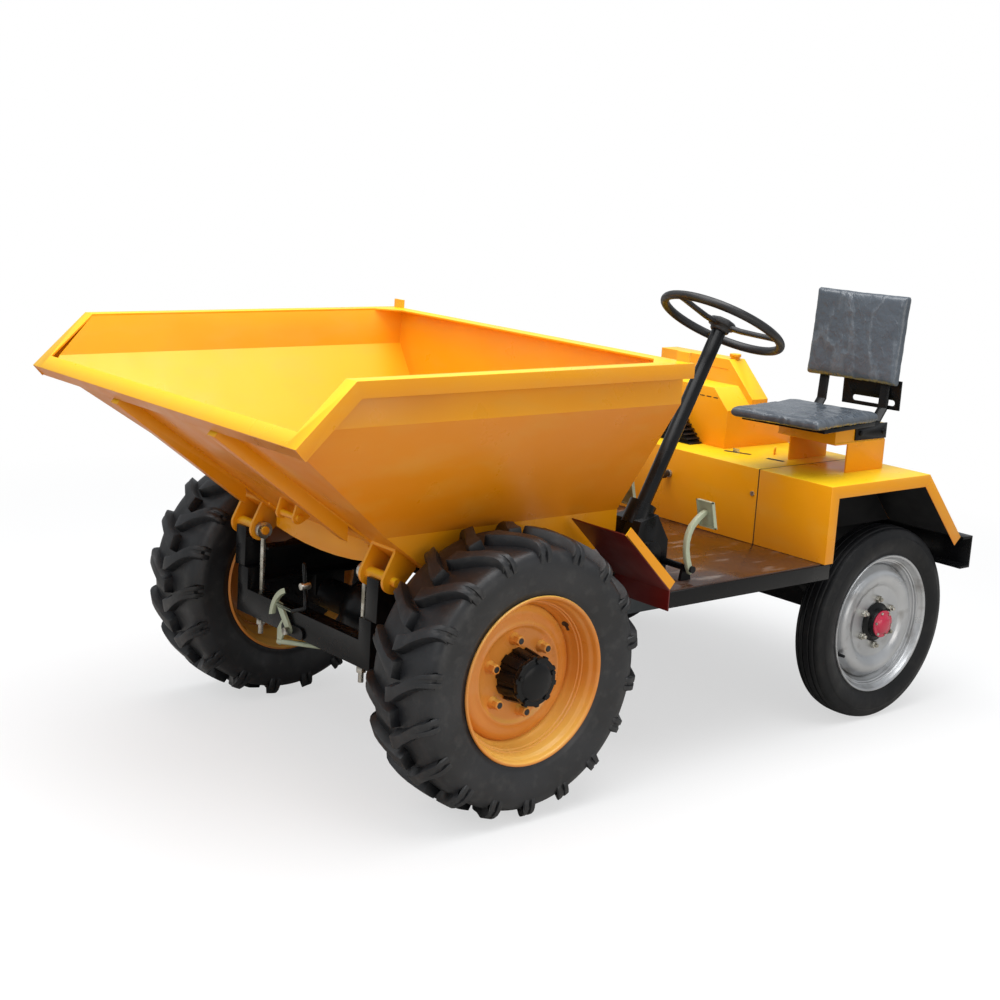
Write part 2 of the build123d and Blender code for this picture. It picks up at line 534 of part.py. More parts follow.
ARM_Z = REAR_R + 78
for label, side in (("left", 1), ("right", -1)):
    with BuildPart() as knuckle:
        upright(X_REAR, side * KING_Y, REAR_R - 39.5, REAR_R + 39.5, 24)
        upright(X_REAR, side * KING_Y, REAR_R - 75, REAR_R + 90, 12)
        y0, y1 = sorted((side * KING_Y, side * (REAR_OUT - 40)))
        along_y(X_REAR, REAR_R, y0, y1, 16)
        # arm for the tie rod, pointing rearward; on the left also one for the drag link
        block(X_REAR - ARM - 16, X_REAR + 14, side * KING_Y - 12, side * KING_Y + 12, ARM_Z, ARM_Z + 12)
        upright(X_REAR - ARM, side * KING_Y, ARM_Z - 24, ARM_Z + 1, 8)
        if side == 1:
            block(X_REAR - 12, X_REAR + 12, KING_Y - ARM - 16, KING_Y + 14, ARM_Z, ARM_Z + 12)
            upright(X_REAR, KING_Y - ARM, ARM_Z + 11, ARM_Z + 36, 8)
    keep(knuckle, f"knuckle_{label}")

with BuildPart() as tie_rod:
    y = KING_Y
    with Locations(Location((X_REAR - ARM, 0, ARM_Z - 14), (90, 0, 0))):
        Cylinder(11, 2 * y - 30)
    for side in (1, -1):
        upright(X_REAR - ARM, side * y, ARM_Z - 24, ARM_Z - 4, 17)
        upright(X_REAR - ARM, side * y, ARM_Z - 25, ARM_Z - 3, 8.06, Mode.SUBTRACT)
keep(tie_rod, "tie_rod")

DROP_X, DROP_Z = X_FRONT - 600, 455
with BuildPart() as drop_arm:
    block(DROP_X - 12, DROP_X + 12, KING_Y - ARM - 16, KING_Y + 14, DROP_Z, DROP_Z + 12)
    upright(DROP_X, KING_Y, DROP_Z + 11, FLOOR_Z - 5, 14)
    upright(DROP_X, KING_Y - ARM, DROP_Z - 25, DROP_Z + 1, 8)
keep(drop_arm, "drop_arm")

with BuildPart() as drag_link:
    y = KING_Y - ARM
    z_front, z_rear = DROP_Z - 14, ARM_Z + 26
    run = DROP_X - X_REAR
    slope = math.degrees(math.atan2(z_front - z_rear, run))
    with Locations(Location(((DROP_X + X_REAR) / 2, y, (z_front + z_rear) / 2), (0, 90 - slope, 0))):
        Cylinder(11, math.hypot(run, z_front - z_rear) - 30)
    for x, z in ((DROP_X, z_front), (X_REAR, z_rear)):
        upright(x, y, z - 9, z + 9, 17)
        upright(x, y, z - 30, z + 30, 8.06, Mode.SUBTRACT)
keep(drag_link, "drag_link")

# ---- wheels ----
FRONT_MID = FRONT_OUT - FRONT_W / 2
REAR_MID = REAR_OUT - REAR_W / 2


def faceted(half, mid, x, z, sides, phase=0):
    """Closed ring of flat facets about an axle: half is radius and distance from its middle plane."""
    line = [(r, mid + y) for r, y in half] + [(r, mid - y) for r, y in reversed(half)]
    turns = [math.radians(phase + 360 * i / sides) for i in range(sides + 1)]
    faces = []
    for (r0, y0), (r1, y1) in zip(line, line[1:] + line[:1]):
        for a, b in zip(turns, turns[1:]):
            ring = [(x + r * math.sin(t), y, z + r * math.cos(t)) for r, y, t in
                    ((r0, y0, a), (r0, y0, b), (r1, y1, b), (r1, y1, a))]
            faces.append(Face(Wire.make_polygon([Vector(*p) for p in ring], close=True)))
    return Solid(Shell(faces))


def tread_lug(stations, mid, x, z):
    """Lug that runs from the middle of the tread out to the side wall. A station is its distance from the
    middle plane, at the top and at the root; its lead round the tyre; radius and half width at both."""
    rings = []
    for y_top, y_root, lead, r_top, r_root, w_top, w_root in stations:
        corners = ((-w_root, r_root, y_root), (-w_top, r_top, y_top), (w_top, r_top, y_top), (w_root, r_root, y_root))
        turns = [math.radians(lead) + w / r for w, r, _ in corners]
        rings.append([Vector(x + r * math.sin(t), mid + y, z + r * math.cos(t))
                      for t, (_, r, y) in zip(turns, corners)])
    triangles = [(a[i], a[(i + 1) % 4], b[(i + 1) % 4]) for a, b in zip(rings, rings[1:]) for i in range(4)]
    triangles += [(a[i], b[(i + 1) % 4], b[i]) for a, b in zip(rings, rings[1:]) for i in range(4)]
    triangles += [(end[0], end[i], end[i + 1]) for end in (rings[0], rings[-1]) for i in (1, 2)]
    return Solid(Shell([Face(Wire.make_polygon(list(t), close=True)) for t in triangles]))


# drive tyre: plain carcass with eighteen lugs a side, the two sides half a pitch apart
LUGS = 18
LUG = ((-9, -9, 10.9, FRONT_R, 335, 19, 21), (50, 50, 6.2, FRONT_R - 1, 335, 15, 17),
       (118, 118, 0.2, FRONT_R - 21, 318, 17, 18), (128.5, 112, 0, 314, 300, 16, 17))
bead = (FRONT_RIM_R - 12.7) / math.cos(math.pi / 36)
carcass = faceted([(bead, 95.5), (FRONT_RIM_R + 2, 103.2), (295, 128), (340, 112)], 0, X_FRONT, FRONT_R, 36, 5)
axle = Axis((X_FRONT, 0, FRONT_R), (0, 1, 0))
lug = tread_lug(LUG, 0, X_FRONT, FRONT_R)
far_lug = lug.mirror(Plane.XZ).rotate(axle, 180 / LUGS)
drive_tyre = carcass.fuse(*[each.rotate(axle, 360 / LUGS * i) for i in range(LUGS) for each in (lug, far_lug)])

# steered tyre: its flats stand on the ground
flat = 1 / math.cos(math.pi / 32)
steered = [((REAR_RIM_R - 12.7) * flat, 31), (REAR_RIM_R + 2, 36.5), (272 * flat, 55), (REAR_R * flat, 34)]
for label, side in (("left", 1), ("right", -1)):
    with BuildPart() as front_tyre:
        half = drive_tyre.moved(Location((0, FRONT_MID, 0)))
        add(half if side > 0 else half.mirror(Plane.XZ))
    keep(front_tyre, f"front_tyre_{label}")

    with BuildPart() as front_rim:
        # barrel with its two flanges, and the dished disc with a raised ring round the studs
        line = [(FRONT_RIM_R, 115), (FRONT_RIM_R, 107), (FRONT_RIM_R - 13, 97), (FRONT_RIM_R - 13, -97),
                (FRONT_RIM_R, -107), (FRONT_RIM_R, -115), (FRONT_RIM_R - 6, -115), (FRONT_RIM_R - 19, -101),
                (FRONT_RIM_R - 19, -20), (183.5, 0), (178.5, 14), (178, 26), (172, 34), (158, 40), (142, 41),
                (119, 37.5), (60, 37.5), (60, 43.5), (100, 43.5), (119, 44), (124.5, 46.2), (129, 50), (133, 51.5),
                (136.5, 50), (142, 47.5), (158, 46.5), (166.5, 44.5), (173.5, 40.5), (179, 34.5), (182.8, 26),
                (183.5, 14), (186, 8), (FRONT_RIM_R - 19, 8), (FRONT_RIM_R - 19, 72), (200, 79), (202, 90),
                (FRONT_RIM_R - 15, 98), (FRONT_RIM_R - 6, 115)]
        turned([(r, side * (FRONT_MID + w)) for r, w in line], X_FRONT, FRONT_R)
    keep(front_rim, f"front_rim_{label}")

    with BuildPart() as front_hub:
        bored = SPINDLE_END - FRONT_MID
        line = [(0, bored), (SPINDLE_R + 0.05, bored), (SPINDLE_R + 0.05, -120), (70, -120), (70, -100), (58, -90),
                (58, 37.5), (59.9, 37.5), (59.9, 55), (57, 56), (55.5, 96), (59, 97), (59, 108), (47, 109), (46, 116),
                (30, 117), (28, 126), (0, 130)]
        turned([(r, side * (FRONT_MID + w)) for r, w in line], X_FRONT, FRONT_R)
        # ribs down the barrel, and the scallops of the flange at its outer end
        y0, y1 = sorted((side * (FRONT_MID + 55), side * (FRONT_MID + 97)))
        with Locations(Location((X_FRONT, 0, FRONT_R), (90, 0, 0))):
            with PolarLocations(57.5, 10):
                with Locations((0, 0, -(y0 + y1) / 2)):
                    Box(9, 11, y1 - y0)
            y0, y1 = sorted((side * (FRONT_MID + 97), side * (FRONT_MID + 108)))
            with PolarLocations(60, 5, start_angle=18):
                with Locations((0, 0, -(y0 + y1) / 2)):
                    Cylinder(8.5, y1 - y0)
    keep(front_hub, f"front_hub_{label}")

    with BuildPart() as rear_tyre:
        add(faceted(steered, side * REAR_MID, X_REAR, REAR_R, 32, 180 / 32))
    keep(rear_tyre, f"rear_tyre_{label}")

    with BuildPart() as rear_rim:
        # one-piece wheel: dish that bulges out to a crest, then drops to the recessed centre
        line = [(REAR_RIM_R, 45), (REAR_RIM_R, 39), (REAR_RIM_R - 13, 33), (REAR_RIM_R - 13, -33),
                (REAR_RIM_R, -39), (REAR_RIM_R, -45), (REAR_RIM_R - 5, -45), (REAR_RIM_R - 17, -36),
                (REAR_RIM_R - 17, -8), (176, -6), (172, 4), (165, 20), (150, 28), (134, 24), (118, 15), (60, 15), (45, 15),
                (45, -60), (16.06, -60), (16.06, 30), (40, 30), (62, 24), (66, 20), (116, 20), (121, 26), (133, 31),
                (150, 34), (163, 30), (169, 22), (173, 12), (182, 4),
                (REAR_RIM_R - 17, 4), (REAR_RIM_R - 17, 36), (REAR_RIM_R - 5, 45)]
        turned([(r, side * (REAR_MID + w)) for r, w in line], X_REAR, REAR_R)
    keep(rear_rim, f"rear_rim_{label}")

    with BuildPart() as rear_cap:
        line = [(0, 30), (40, 30), (40, 46), (42, 47), (42, 53), (33, 55), (30, 58), (22, 62), (0, 64)]
        turned([(r, side * (REAR_MID + w)) for r, w in line], X_REAR, REAR_R)
    keep(rear_cap, f"rear_cap_{label}")
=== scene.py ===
import bpy
import bmesh
import json
import math
from mathutils import Matrix, Quaternion, Vector


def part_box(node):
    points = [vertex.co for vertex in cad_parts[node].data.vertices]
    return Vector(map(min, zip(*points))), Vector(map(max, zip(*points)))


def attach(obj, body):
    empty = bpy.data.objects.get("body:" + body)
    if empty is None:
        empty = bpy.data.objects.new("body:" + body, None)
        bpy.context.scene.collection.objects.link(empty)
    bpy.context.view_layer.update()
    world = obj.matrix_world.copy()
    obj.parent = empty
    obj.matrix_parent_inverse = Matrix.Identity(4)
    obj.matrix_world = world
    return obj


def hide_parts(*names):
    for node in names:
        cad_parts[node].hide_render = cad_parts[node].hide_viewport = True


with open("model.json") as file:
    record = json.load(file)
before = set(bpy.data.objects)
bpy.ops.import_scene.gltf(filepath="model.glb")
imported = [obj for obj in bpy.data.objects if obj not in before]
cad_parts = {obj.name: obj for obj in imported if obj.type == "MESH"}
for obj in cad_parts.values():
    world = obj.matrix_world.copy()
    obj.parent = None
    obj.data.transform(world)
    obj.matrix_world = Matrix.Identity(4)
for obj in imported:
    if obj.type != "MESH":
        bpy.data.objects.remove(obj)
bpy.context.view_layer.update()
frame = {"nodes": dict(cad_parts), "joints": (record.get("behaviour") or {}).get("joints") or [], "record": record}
nodes = frame["nodes"]

# ---------------------------------------------------------------------------------------------
# Skip: welded tub of 5 mm plate with a folded rim, two under-frames and their pivot pins.
# Sprayed yellow over welds and folds in one coat, so every edge is soft; faces that look up carry a painted
# highlight and those that look down a painted shade.
# ---------------------------------------------------------------------------------------------


def linear(code):
    """Colour written as six hex digits, as the shader wants it."""
    parts = [int(code[i:i + 2], 16) / 255 for i in (0, 2, 4)]
    return tuple(c / 12.92 if c <= 0.04045 else ((c + 0.055) / 1.055) ** 2.4 for c in parts) + (1.0,)


def finish(name, roughness, metallic=0.0, coat=0.0, specular=0.5):
    """Principled material whose constant values are set on its own sockets."""
    material = bpy.data.materials.new(name)
    material.use_nodes = True
    shader = material.node_tree.nodes["Principled BSDF"]
    shader.inputs["Roughness"].default_value = roughness
    shader.inputs["Metallic"].default_value = metallic
    shader.inputs["Coat Weight"].default_value = coat
    shader.inputs["Coat Roughness"].default_value = 0.1
    shader.inputs["Specular IOR Level"].default_value = specular
    return material, material.node_tree, shader


def mottle(tree, scale, detail=4.0, stretch=(1, 1, 1)):
    """Noise over the piece's own coordinates; returns its factor."""
    place = tree.nodes.new("ShaderNodeTexCoord")
    fit = tree.nodes.new("ShaderNodeMapping")
    fit.inputs["Scale"].default_value = stretch
    cloud = tree.nodes.new("ShaderNodeTexNoise")
    cloud.inputs["Scale"].default_value = scale
    cloud.inputs["Detail"].default_value = detail
    tree.links.new(place.outputs["Object"], fit.inputs["Vector"])
    tree.links.new(fit.outputs["Vector"], cloud.inputs["Vector"])
    return cloud.outputs["Fac"]


def spread(tree, factor, *stops):
    """Colours or grey levels along a factor: each stop is (place, colour or level)."""
    node = tree.nodes.new("ShaderNodeValToRGB")
    tree.links.new(factor, node.inputs["Fac"])
    while len(node.color_ramp.elements) < len(stops):
        node.color_ramp.elements.new(0.5)
    for element, (place, colour) in zip(node.color_ramp.elements, stops):
        element.position = place
        element.color = colour if isinstance(colour, tuple) else (colour, colour, colour, 1.0)
    return node.outputs["Color"]


def blended(tree, factor, first, second):
    """First colour to second by a factor; each is a colour or a socket."""
    node = tree.nodes.new("ShaderNodeMix")
    node.data_type = "RGBA"
    tree.links.new(factor, node.inputs[0])
    for socket, value in ((node.inputs[6], first), (node.inputs[7], second)):
        if isinstance(value, tuple):
            socket.default_value = value
        else:
            tree.links.new(value, socket)
    return node.outputs[2]


def relief(tree, shader, *layers):
    """Bumps stacked on the shader: each layer is (height, strength, depth in metres)."""
    normal = None
    for height, strength, depth in layers:
        bump = tree.nodes.new("ShaderNodeBump")
        bump.inputs["Strength"].default_value = strength
        bump.inputs["Distance"].default_value = depth
        tree.links.new(height, bump.inputs["Height"])
        if normal is not None:
            tree.links.new(normal, bump.inputs["Normal"])
        normal = bump.outputs["Normal"]
    tree.links.new(normal, shader.inputs["Normal"])


def drifting(tree, scale, detail, first, second, start=0.35, end=0.7):
    """Cloudy change from one shade to another, each written as six hex digits."""
    cloud = spread(tree, mottle(tree, scale, detail), (start, 0.0), (end, 1.0))
    return blended(tree, cloud, linear(first), linear(second))


def patchy_gloss(tree, shader, scale, detail, *stops):
    """Roughness that changes in patches: each stop is (place, roughness)."""
    tree.links.new(spread(tree, mottle(tree, scale, detail), *stops), shader.inputs["Roughness"])


def sprayed(name, colour, deep, dust, roughness, coat, specular=0.5, painted_highlight=None, lower=None):
    """Sprayed enamel: slow drift between two shades, a breath of dust and orange peel. Where a painted highlight
    is given, faces that look up take it, and those that look down take the lower or the deep one as painted shade."""
    material, tree, shader = finish(name, roughness, coat=coat, specular=specular)
    drift = drifting(tree, 2.2, 3, colour, deep)
    # painted light by facing: a painted highlight on faces that look up, painted shade on faces that look down
    if painted_highlight:
        facing = tree.nodes.new("ShaderNodeSeparateXYZ")
        tree.links.new(tree.nodes.new("ShaderNodeTexCoord").outputs["Normal"], facing.inputs["Vector"])
        height = tree.nodes.new("ShaderNodeMapRange")
        height.inputs["From Min"].default_value = -1.0
        tree.links.new(facing.outputs["Z"], height.inputs["Value"])
        level = height.outputs["Result"]
        drift = blended(tree, spread(tree, level, (0.575, 0.0), (0.92, 1.0)), drift, linear(painted_highlight))
        drift = blended(tree, spread(tree, level, (0.22, 1.0), (0.48, 0.0)), drift, linear(lower or deep))
    film = spread(tree, mottle(tree, 6.0, 8, (1, 1, 2.5)), (0.5, 0.0), (0.78, 0.28))
    tree.links.new(blended(tree, film, drift, linear(dust)), shader.inputs["Base Color"])
    patchy_gloss(tree, shader, 9.0, 6, (0.3, roughness - 0.07), (0.75, roughness + 0.16))
    relief(tree, shader, (mottle(tree, 260.0, 2), 0.10, 0.0006), (mottle(tree, 14.0, 3), 0.12, 0.004))
    return material


# F8CB1E is a painted highlight on faces that look up, E4840E a painted shade on faces that look down
yellow = sprayed("yellow_enamel", "F0A00C", "E99509", "DFA84A", 0.32, 0.04, 0.4, "F8CB1E", "E4840E")


def deselect():
    """Leaves edit mode and selects nothing."""
    if bpy.context.object is not None and bpy.context.object.mode != "OBJECT":
        bpy.ops.object.mode_set(mode="OBJECT")
    bpy.ops.object.select_all(action="DESELECT")


def pick(piece):
    """Selects one piece alone and makes it active."""
    deselect()
    piece.select_set(True)
    bpy.context.view_layer.objects.active = piece


def modify(piece, kind, **settings):
    """Adds one modifier and applies it."""
    pick(piece)
    modifier = piece.modifiers.new(kind.lower(), kind)
    for key, value in settings.items():
        setattr(modifier, key, value)
    bpy.ops.object.modifier_apply(modifier=modifier.name)


def smoothed(piece, angle=32):
    """Smooth shading, with edges kept sharp past an angle in degrees."""
    pick(piece)
    bpy.ops.object.shade_smooth_by_angle(angle=math.radians(angle))


def fitted(piece, body, material, slot, *replaced):
    """Gives a finished piece its material and its body, and hides the CAD nodes it stands for."""
    piece.data.materials.clear()
    piece.data.materials.append(material)
    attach(piece, body)
    if replaced:
        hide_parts(*replaced)


body_of = {node: body for body, members in frame["record"]["behaviour"]["bodies"].items()
           for node in members}


def merged_copy(node, name):
    """A node's mesh as its own piece, open in edit mode, its doubles merged and its flats made whole."""
    piece = bpy.data.objects.new(name, nodes[node].data.copy())
    bpy.context.scene.collection.objects.link(piece)
    pick(piece)
    bpy.ops.object.mode_set(mode="EDIT")
    bpy.ops.mesh.select_all(action="SELECT")
    bpy.ops.mesh.remove_doubles(threshold=0.00002)
    bpy.ops.mesh.dissolve_limited(angle_limit=math.radians(0.8))
    return piece


def rounded(node, radius, material, slot):
    """The node's own form with its corners rounded over: a merged copy, bevelled."""
    piece = merged_copy(node, node + "_rounded")
    bpy.ops.object.mode_set(mode="OBJECT")
    modify(piece, "BEVEL", width=radius, segments=2, limit_method="ANGLE", angle_limit=math.radians(30))
    smoothed(piece)
    fitted(piece, body_of[node], material, slot, node)


for node, radius in (("skip_shell", 0.003), ("skip_rim", 0.0022), ("skip_underframe_left", 0.0015),
                     ("skip_underframe_right", 0.0015)):
    rounded(node, radius, yellow, "paint")

# ---------------------------------------------------------------------------------------------
# Drive tyres: bias-ply rubber with eighteen curved bars a side, the two sides half a pitch
# apart. Each bar leans forward to the middle and runs down the shoulder as a slotted block.
# ---------------------------------------------------------------------------------------------


def spun(name, outline, x, middle, z, steps):
    """Body of revolution about an axle at x, z: a corner is extruded along the outline, whose points
    are (distance from the middle, radius), and the line is spun."""
    outline = [(middle + y, r) for y, r in outline]
    deselect()
    y0, r0 = outline[0]
    bpy.ops.mesh.primitive_plane_add(size=0.002)
    piece = bpy.context.object
    piece.name = name
    bpy.ops.object.mode_set(mode="EDIT")
    bpy.ops.mesh.select_all(action="SELECT")
    bpy.ops.mesh.merge(type="CENTER")
    bpy.ops.transform.translate(value=(x, y0, z + r0))
    for (y0, r0), (y1, r1) in zip(outline, outline[1:]):
        bpy.ops.mesh.extrude_region_move(TRANSFORM_OT_translate={"value": (0, y1 - y0, r1 - r0)})
    bpy.ops.mesh.select_all(action="SELECT")
    bpy.ops.mesh.spin(steps=steps, angle=math.tau, center=(x, 0, z), axis=(0, 1, 0))
    bpy.ops.mesh.select_all(action="SELECT")
    bpy.ops.mesh.remove_doubles(threshold=0.00003)
    bpy.ops.mesh.normals_make_consistent(inside=False)
    bpy.ops.object.mode_set(mode="OBJECT")
    return piece


def lofted(name, sections):
    """Solid laid as one face, then extruded and shaped to each next section."""
    deselect()
    bpy.ops.mesh.primitive_circle_add(vertices=len(sections[0]), radius=0.01, fill_type="NGON")
    piece = bpy.context.object
    piece.name = name
    bpy.ops.object.mode_set(mode="EDIT")
    bpy.ops.mesh.select_all(action="SELECT")
    for step, section in enumerate(sections):
        if step:
            bpy.ops.mesh.extrude_region_move()
        shell = bmesh.from_edit_mesh(piece.data)
        face = next(face for face in shell.faces if face.select)
        for loop, place in zip(face.loops, section):
            loop.vert.co = place
        bmesh.update_edit_mesh(piece.data)
    bpy.ops.mesh.select_all(action="SELECT")
    bpy.ops.mesh.normals_make_consistent(inside=False)
    bpy.ops.object.mode_set(mode="OBJECT")
    return piece


def around(piece, count, x, z):
    """The same form repeated round an axle at x, z."""
    pick(piece)
    bpy.ops.object.mode_set(mode="EDIT")
    bpy.ops.mesh.select_all(action="SELECT")
    bpy.ops.mesh.spin(steps=count - 1, dupli=True, angle=math.tau * (count - 1) / count,
                      center=(x, 0, z), axis=(0, 1, 0))
    bpy.ops.object.mode_set(mode="OBJECT")
    return piece


def turned_by(piece, degrees, x, z):
    """Turns a mesh about an axle at x, z."""
    centre = Matrix.Translation((x, 0, z))
    piece.data.transform(centre @ Matrix.Rotation(math.radians(degrees), 4, "Y") @ centre.inverted())
    return piece


def mirrored(piece, name, about=0.0):
    """The same piece on the other side of a plane across Y."""
    twin = piece.copy()
    twin.data = piece.data.copy()
    twin.name = name
    bpy.context.scene.collection.objects.link(twin)
    twin.data.transform(Matrix.Translation((0, 2 * about, 0)) @ Matrix.Scale(-1, 4, (0, 1, 0)))
    twin.data.flip_normals()
    return twin


def both_sides(piece, body, material, slot, *replaced):
    """Fits a left-hand piece and its mirror image on the right, which has the same names but for the side."""
    fitted(piece, body, material, slot, *replaced)
    name, body, *replaced = (word.replace("left", "right") for word in (piece.name, body, *replaced))
    fitted(mirrored(piece, name), body, material, slot, *replaced)


def joined(name, *pieces):
    """Several pieces as one, under one name."""
    deselect()
    for piece in pieces:
        piece.select_set(True)
    bpy.context.view_layer.objects.active = pieces[0]
    bpy.ops.object.join()
    pieces[0].name = name
    return pieces[0]


joint_places = {joint["name"]: joint["pos_m"] for joint in frame["joints"]}
DRIVE_X, DRIVE_MID, DRIVE_Z = joint_places["front_left_roll"]


def tyre_rubber(name, fresh, worn, scuffed, specular):
    """Vulcanised rubber: near black, dulled in patches, with a fine grain."""
    material, tree, shader = finish(name, 0.5, specular=specular)
    drift = drifting(tree, 7.0, 6, fresh, worn, end=0.75)
    scuffs = spread(tree, mottle(tree, 34.0, 9), (0.52, 0.0), (0.72, 0.35))
    tree.links.new(blended(tree, scuffs, drift, linear(scuffed)), shader.inputs["Base Color"])
    patchy_gloss(tree, shader, 12.0, 6, (0.3, 0.34), (0.8, 0.62))
    relief(tree, shader, (mottle(tree, 420.0, 3), 0.12, 0.0006), (mottle(tree, 30.0, 4), 0.2, 0.004))
    return material


rubber = tyre_rubber("drive_rubber", "121315", "202226", "403F3E", 0.55)
side_line = [(0.098, 0.2140), (0.110, 0.2205), (0.112, 0.228), (0.1135, 0.234), (0.117, 0.2385),
             (0.1185, 0.246), (0.1225, 0.262), (0.1255, 0.280), (0.1268, 0.298), (0.1262, 0.313),
             (0.1228, 0.326), (0.1155, 0.337), (0.1040, 0.344), (0.088, 0.3475), (0.060, 0.349),
             (0.030, 0.3496)]
drive_line = side_line + [(-y, r) for y, r in reversed(side_line)] + side_line[:1]
carcass = spun("drive_tyre_left", drive_line, DRIVE_X, DRIVE_MID, DRIVE_Z, 120)

# stations of one bar: place across, lead round the tyre in degrees, top and root radius, half
# widths at top and root, depth of the slot down its middle
BARS = 18
BAR = ((-0.009, 10.9, 0.3775, 0.345, 0.0190, 0.0260, 0.0),
       (0.004, 10.3, 0.378, 0.345, 0.0200, 0.0265, 0.0),
       (0.020, 9.3, 0.378, 0.345, 0.0172, 0.0235, 0.0),
       (0.040, 7.2, 0.3775, 0.345, 0.0148, 0.0215, 0.0),
       (0.060, 5.1, 0.3765, 0.344, 0.0145, 0.0210, 0.0),
       (0.080, 3.1, 0.374, 0.342, 0.0150, 0.0210, 0.0),
       (0.098, 1.5, 0.3695, 0.338, 0.0158, 0.0215, 0.0),
       (0.112, 0.6, 0.3625, 0.333, 0.0165, 0.0215, 0.003),
       (0.1225, 0.2, 0.352, 0.328, 0.0172, 0.0215, 0.009))
# down the side: place across at top and root, radius at both, half width at both, depth of the slot
BLOCK = ((0.1275, 0.113, 0.340, 0.325, 0.0174, 0.0208, 0.010),
         (0.1290, 0.117, 0.326, 0.316, 0.0172, 0.0200, 0.010),
         (0.1280, 0.119, 0.3155, 0.311, 0.0160, 0.0190, 0.008),
         (0.1230, 0.119, 0.308, 0.306, 0.0130, 0.0170, 0.0))


def bar_section(y_top, y_root, r_top, r_root, half_top, half_root, lead, slot):
    """Eight corners across a bar: roots, shoulders and the slot between, which narrows to its floor."""
    floor_half, mouth_half = 0.0042, 0.0050
    inward = Vector((y_root - y_top, r_root - r_top)).normalized() * slot
    root, top, floor = (y_root, r_root), (y_top, r_top), (y_top + inward.x, r_top + inward.y)
    corners = []
    for offset, (y, r) in ((-half_root, root), (-half_top, top), (-mouth_half, top), (-floor_half, floor),
                           (floor_half, floor), (mouth_half, top), (half_top, top), (half_root, root)):
        turn = math.radians(lead) + offset / r
        corners.append((DRIVE_X + r * math.sin(turn), DRIVE_MID + y, DRIVE_Z + r * math.cos(turn)))
    return corners


sections = [bar_section(y, y, top, root, half_top, half_root, lead, slot)
            for y, lead, top, root, half_top, half_root, slot in BAR]
sections += [bar_section(y, y_root, top, root, half_top, half_root, 0.0, slot)
             for y, y_root, top, root, half_top, half_root, slot in BLOCK]
bar = lofted("tread_bar", sections)
modify(bar, "BEVEL", width=0.0022, segments=2, limit_method="ANGLE", angle_limit=math.radians(38))
around(bar, BARS, DRIVE_X, DRIVE_Z)
inner_bar = turned_by(mirrored(bar, "tread_bar_inner", DRIVE_MID), 180 / BARS, DRIVE_X, DRIVE_Z)
drive_tyre = joined("drive_tyre_left", carcass, bar, inner_bar)
smoothed(drive_tyre, 38)
both_sides(drive_tyre, "front_wheel_left", rubber, "tyre", "front_tyre_left")

# ---------------------------------------------------------------------------------------------
# Drive rims: rolled steel barrel with a deep well, a pressed disc welded in, six wheel nuts on
# raised seats and a keyhole for the valve. Sprayed orange inside and out, with a painted highlight on
# faces that look up and painted shade in its deep tone on those that look down.
# ---------------------------------------------------------------------------------------------
# F5BE58 is a painted highlight on faces that look up; faces that look down take the deep tone D27F2C as painted
# shade
orange = sprayed("orange_enamel", "DE8E38", "D27F2C", "E0AE74", 0.3, 0.15, 0.4, "F5BE58")
barrel_line = [(0.1120, 0.2235), (0.1155, 0.2245), (0.1185, 0.2225), (0.1190, 0.2190), (0.1165, 0.2155),
               (0.1120, 0.2135), (0.1040, 0.2125), (0.0985, 0.2105), (0.0955, 0.2060), (0.0900, 0.2040),
               (0.0740, 0.2005), (0.0725, 0.1975), (0.0650, 0.1965), (0.0630, 0.1935), (0.0480, 0.1905),
               (0.0420, 0.1875), (0.0360, 0.1830), (0.0000, 0.1820), (-0.0360, 0.1830), (-0.0480, 0.1905),
               (-0.0740, 0.2005), (-0.0955, 0.2060), (-0.0985, 0.2105), (-0.1120, 0.2135), (-0.1165, 0.2155),
               (-0.1190, 0.2190), (-0.1155, 0.2245), (-0.1090, 0.2225), (-0.0980, 0.2130), (0.0980, 0.2130),
               (0.1090, 0.2225), (0.1120, 0.2235)]
barrel = spun("drive_rim_left", barrel_line, DRIVE_X, DRIVE_MID, DRIVE_Z, 128)
disc_line = [(0.014, 0.1835), (0.026, 0.1828), (0.0345, 0.1790), (0.0405, 0.1735), (0.0445, 0.1665),
             (0.0465, 0.158), (0.0470, 0.149), (0.0475, 0.142), (0.0500, 0.1365), (0.0515, 0.1330),
             (0.0500, 0.1290), (0.0462, 0.1245), (0.0440, 0.119), (0.0435, 0.100), (0.0435, 0.055),
             (0.0375, 0.055), (0.0375, 0.119), (0.0410, 0.142), (0.0400, 0.158), (0.0340, 0.172),
             (0.0260, 0.178), (0.014, 0.1785), (0.014, 0.1835)]
disc = spun("disc", disc_line, DRIVE_X, DRIVE_MID, DRIVE_Z, 128)
drive_rim = joined("drive_rim_left", barrel, disc)
smoothed(drive_rim, 44)
both_sides(drive_rim, "front_wheel_left", orange, "orange_paint", "front_rim_left")

NUT_Z = DRIVE_Z + 0.099         # the first of the six stands above the axle, then all are turned
seat_line = [(0.043, 0.0), (0.043, 0.0175), (0.0475, 0.0160), (0.0530, 0.0128), (0.0545, 0.0118),
             (0.0545, 0.0)]
nut_seat = spun("nut_seats_left", seat_line, DRIVE_X, DRIVE_MID, NUT_Z, 24)


def hexagon(name, y0, y1, across, x, z):
    """Hexagon nut or bolt head along Y with its corners crowned."""
    crown = 0.0015
    ring = [(math.cos(math.radians(60 * i)), math.sin(math.radians(60 * i))) for i in range(6)]
    radius = across / math.sqrt(3)
    return lofted(name, [[(x + a * radius * s, y, z + b * radius * s) for a, b in ring]
                         for y, s in ((y0, 1.0), (y1 - crown, 1.0), (y1, 0.88))])


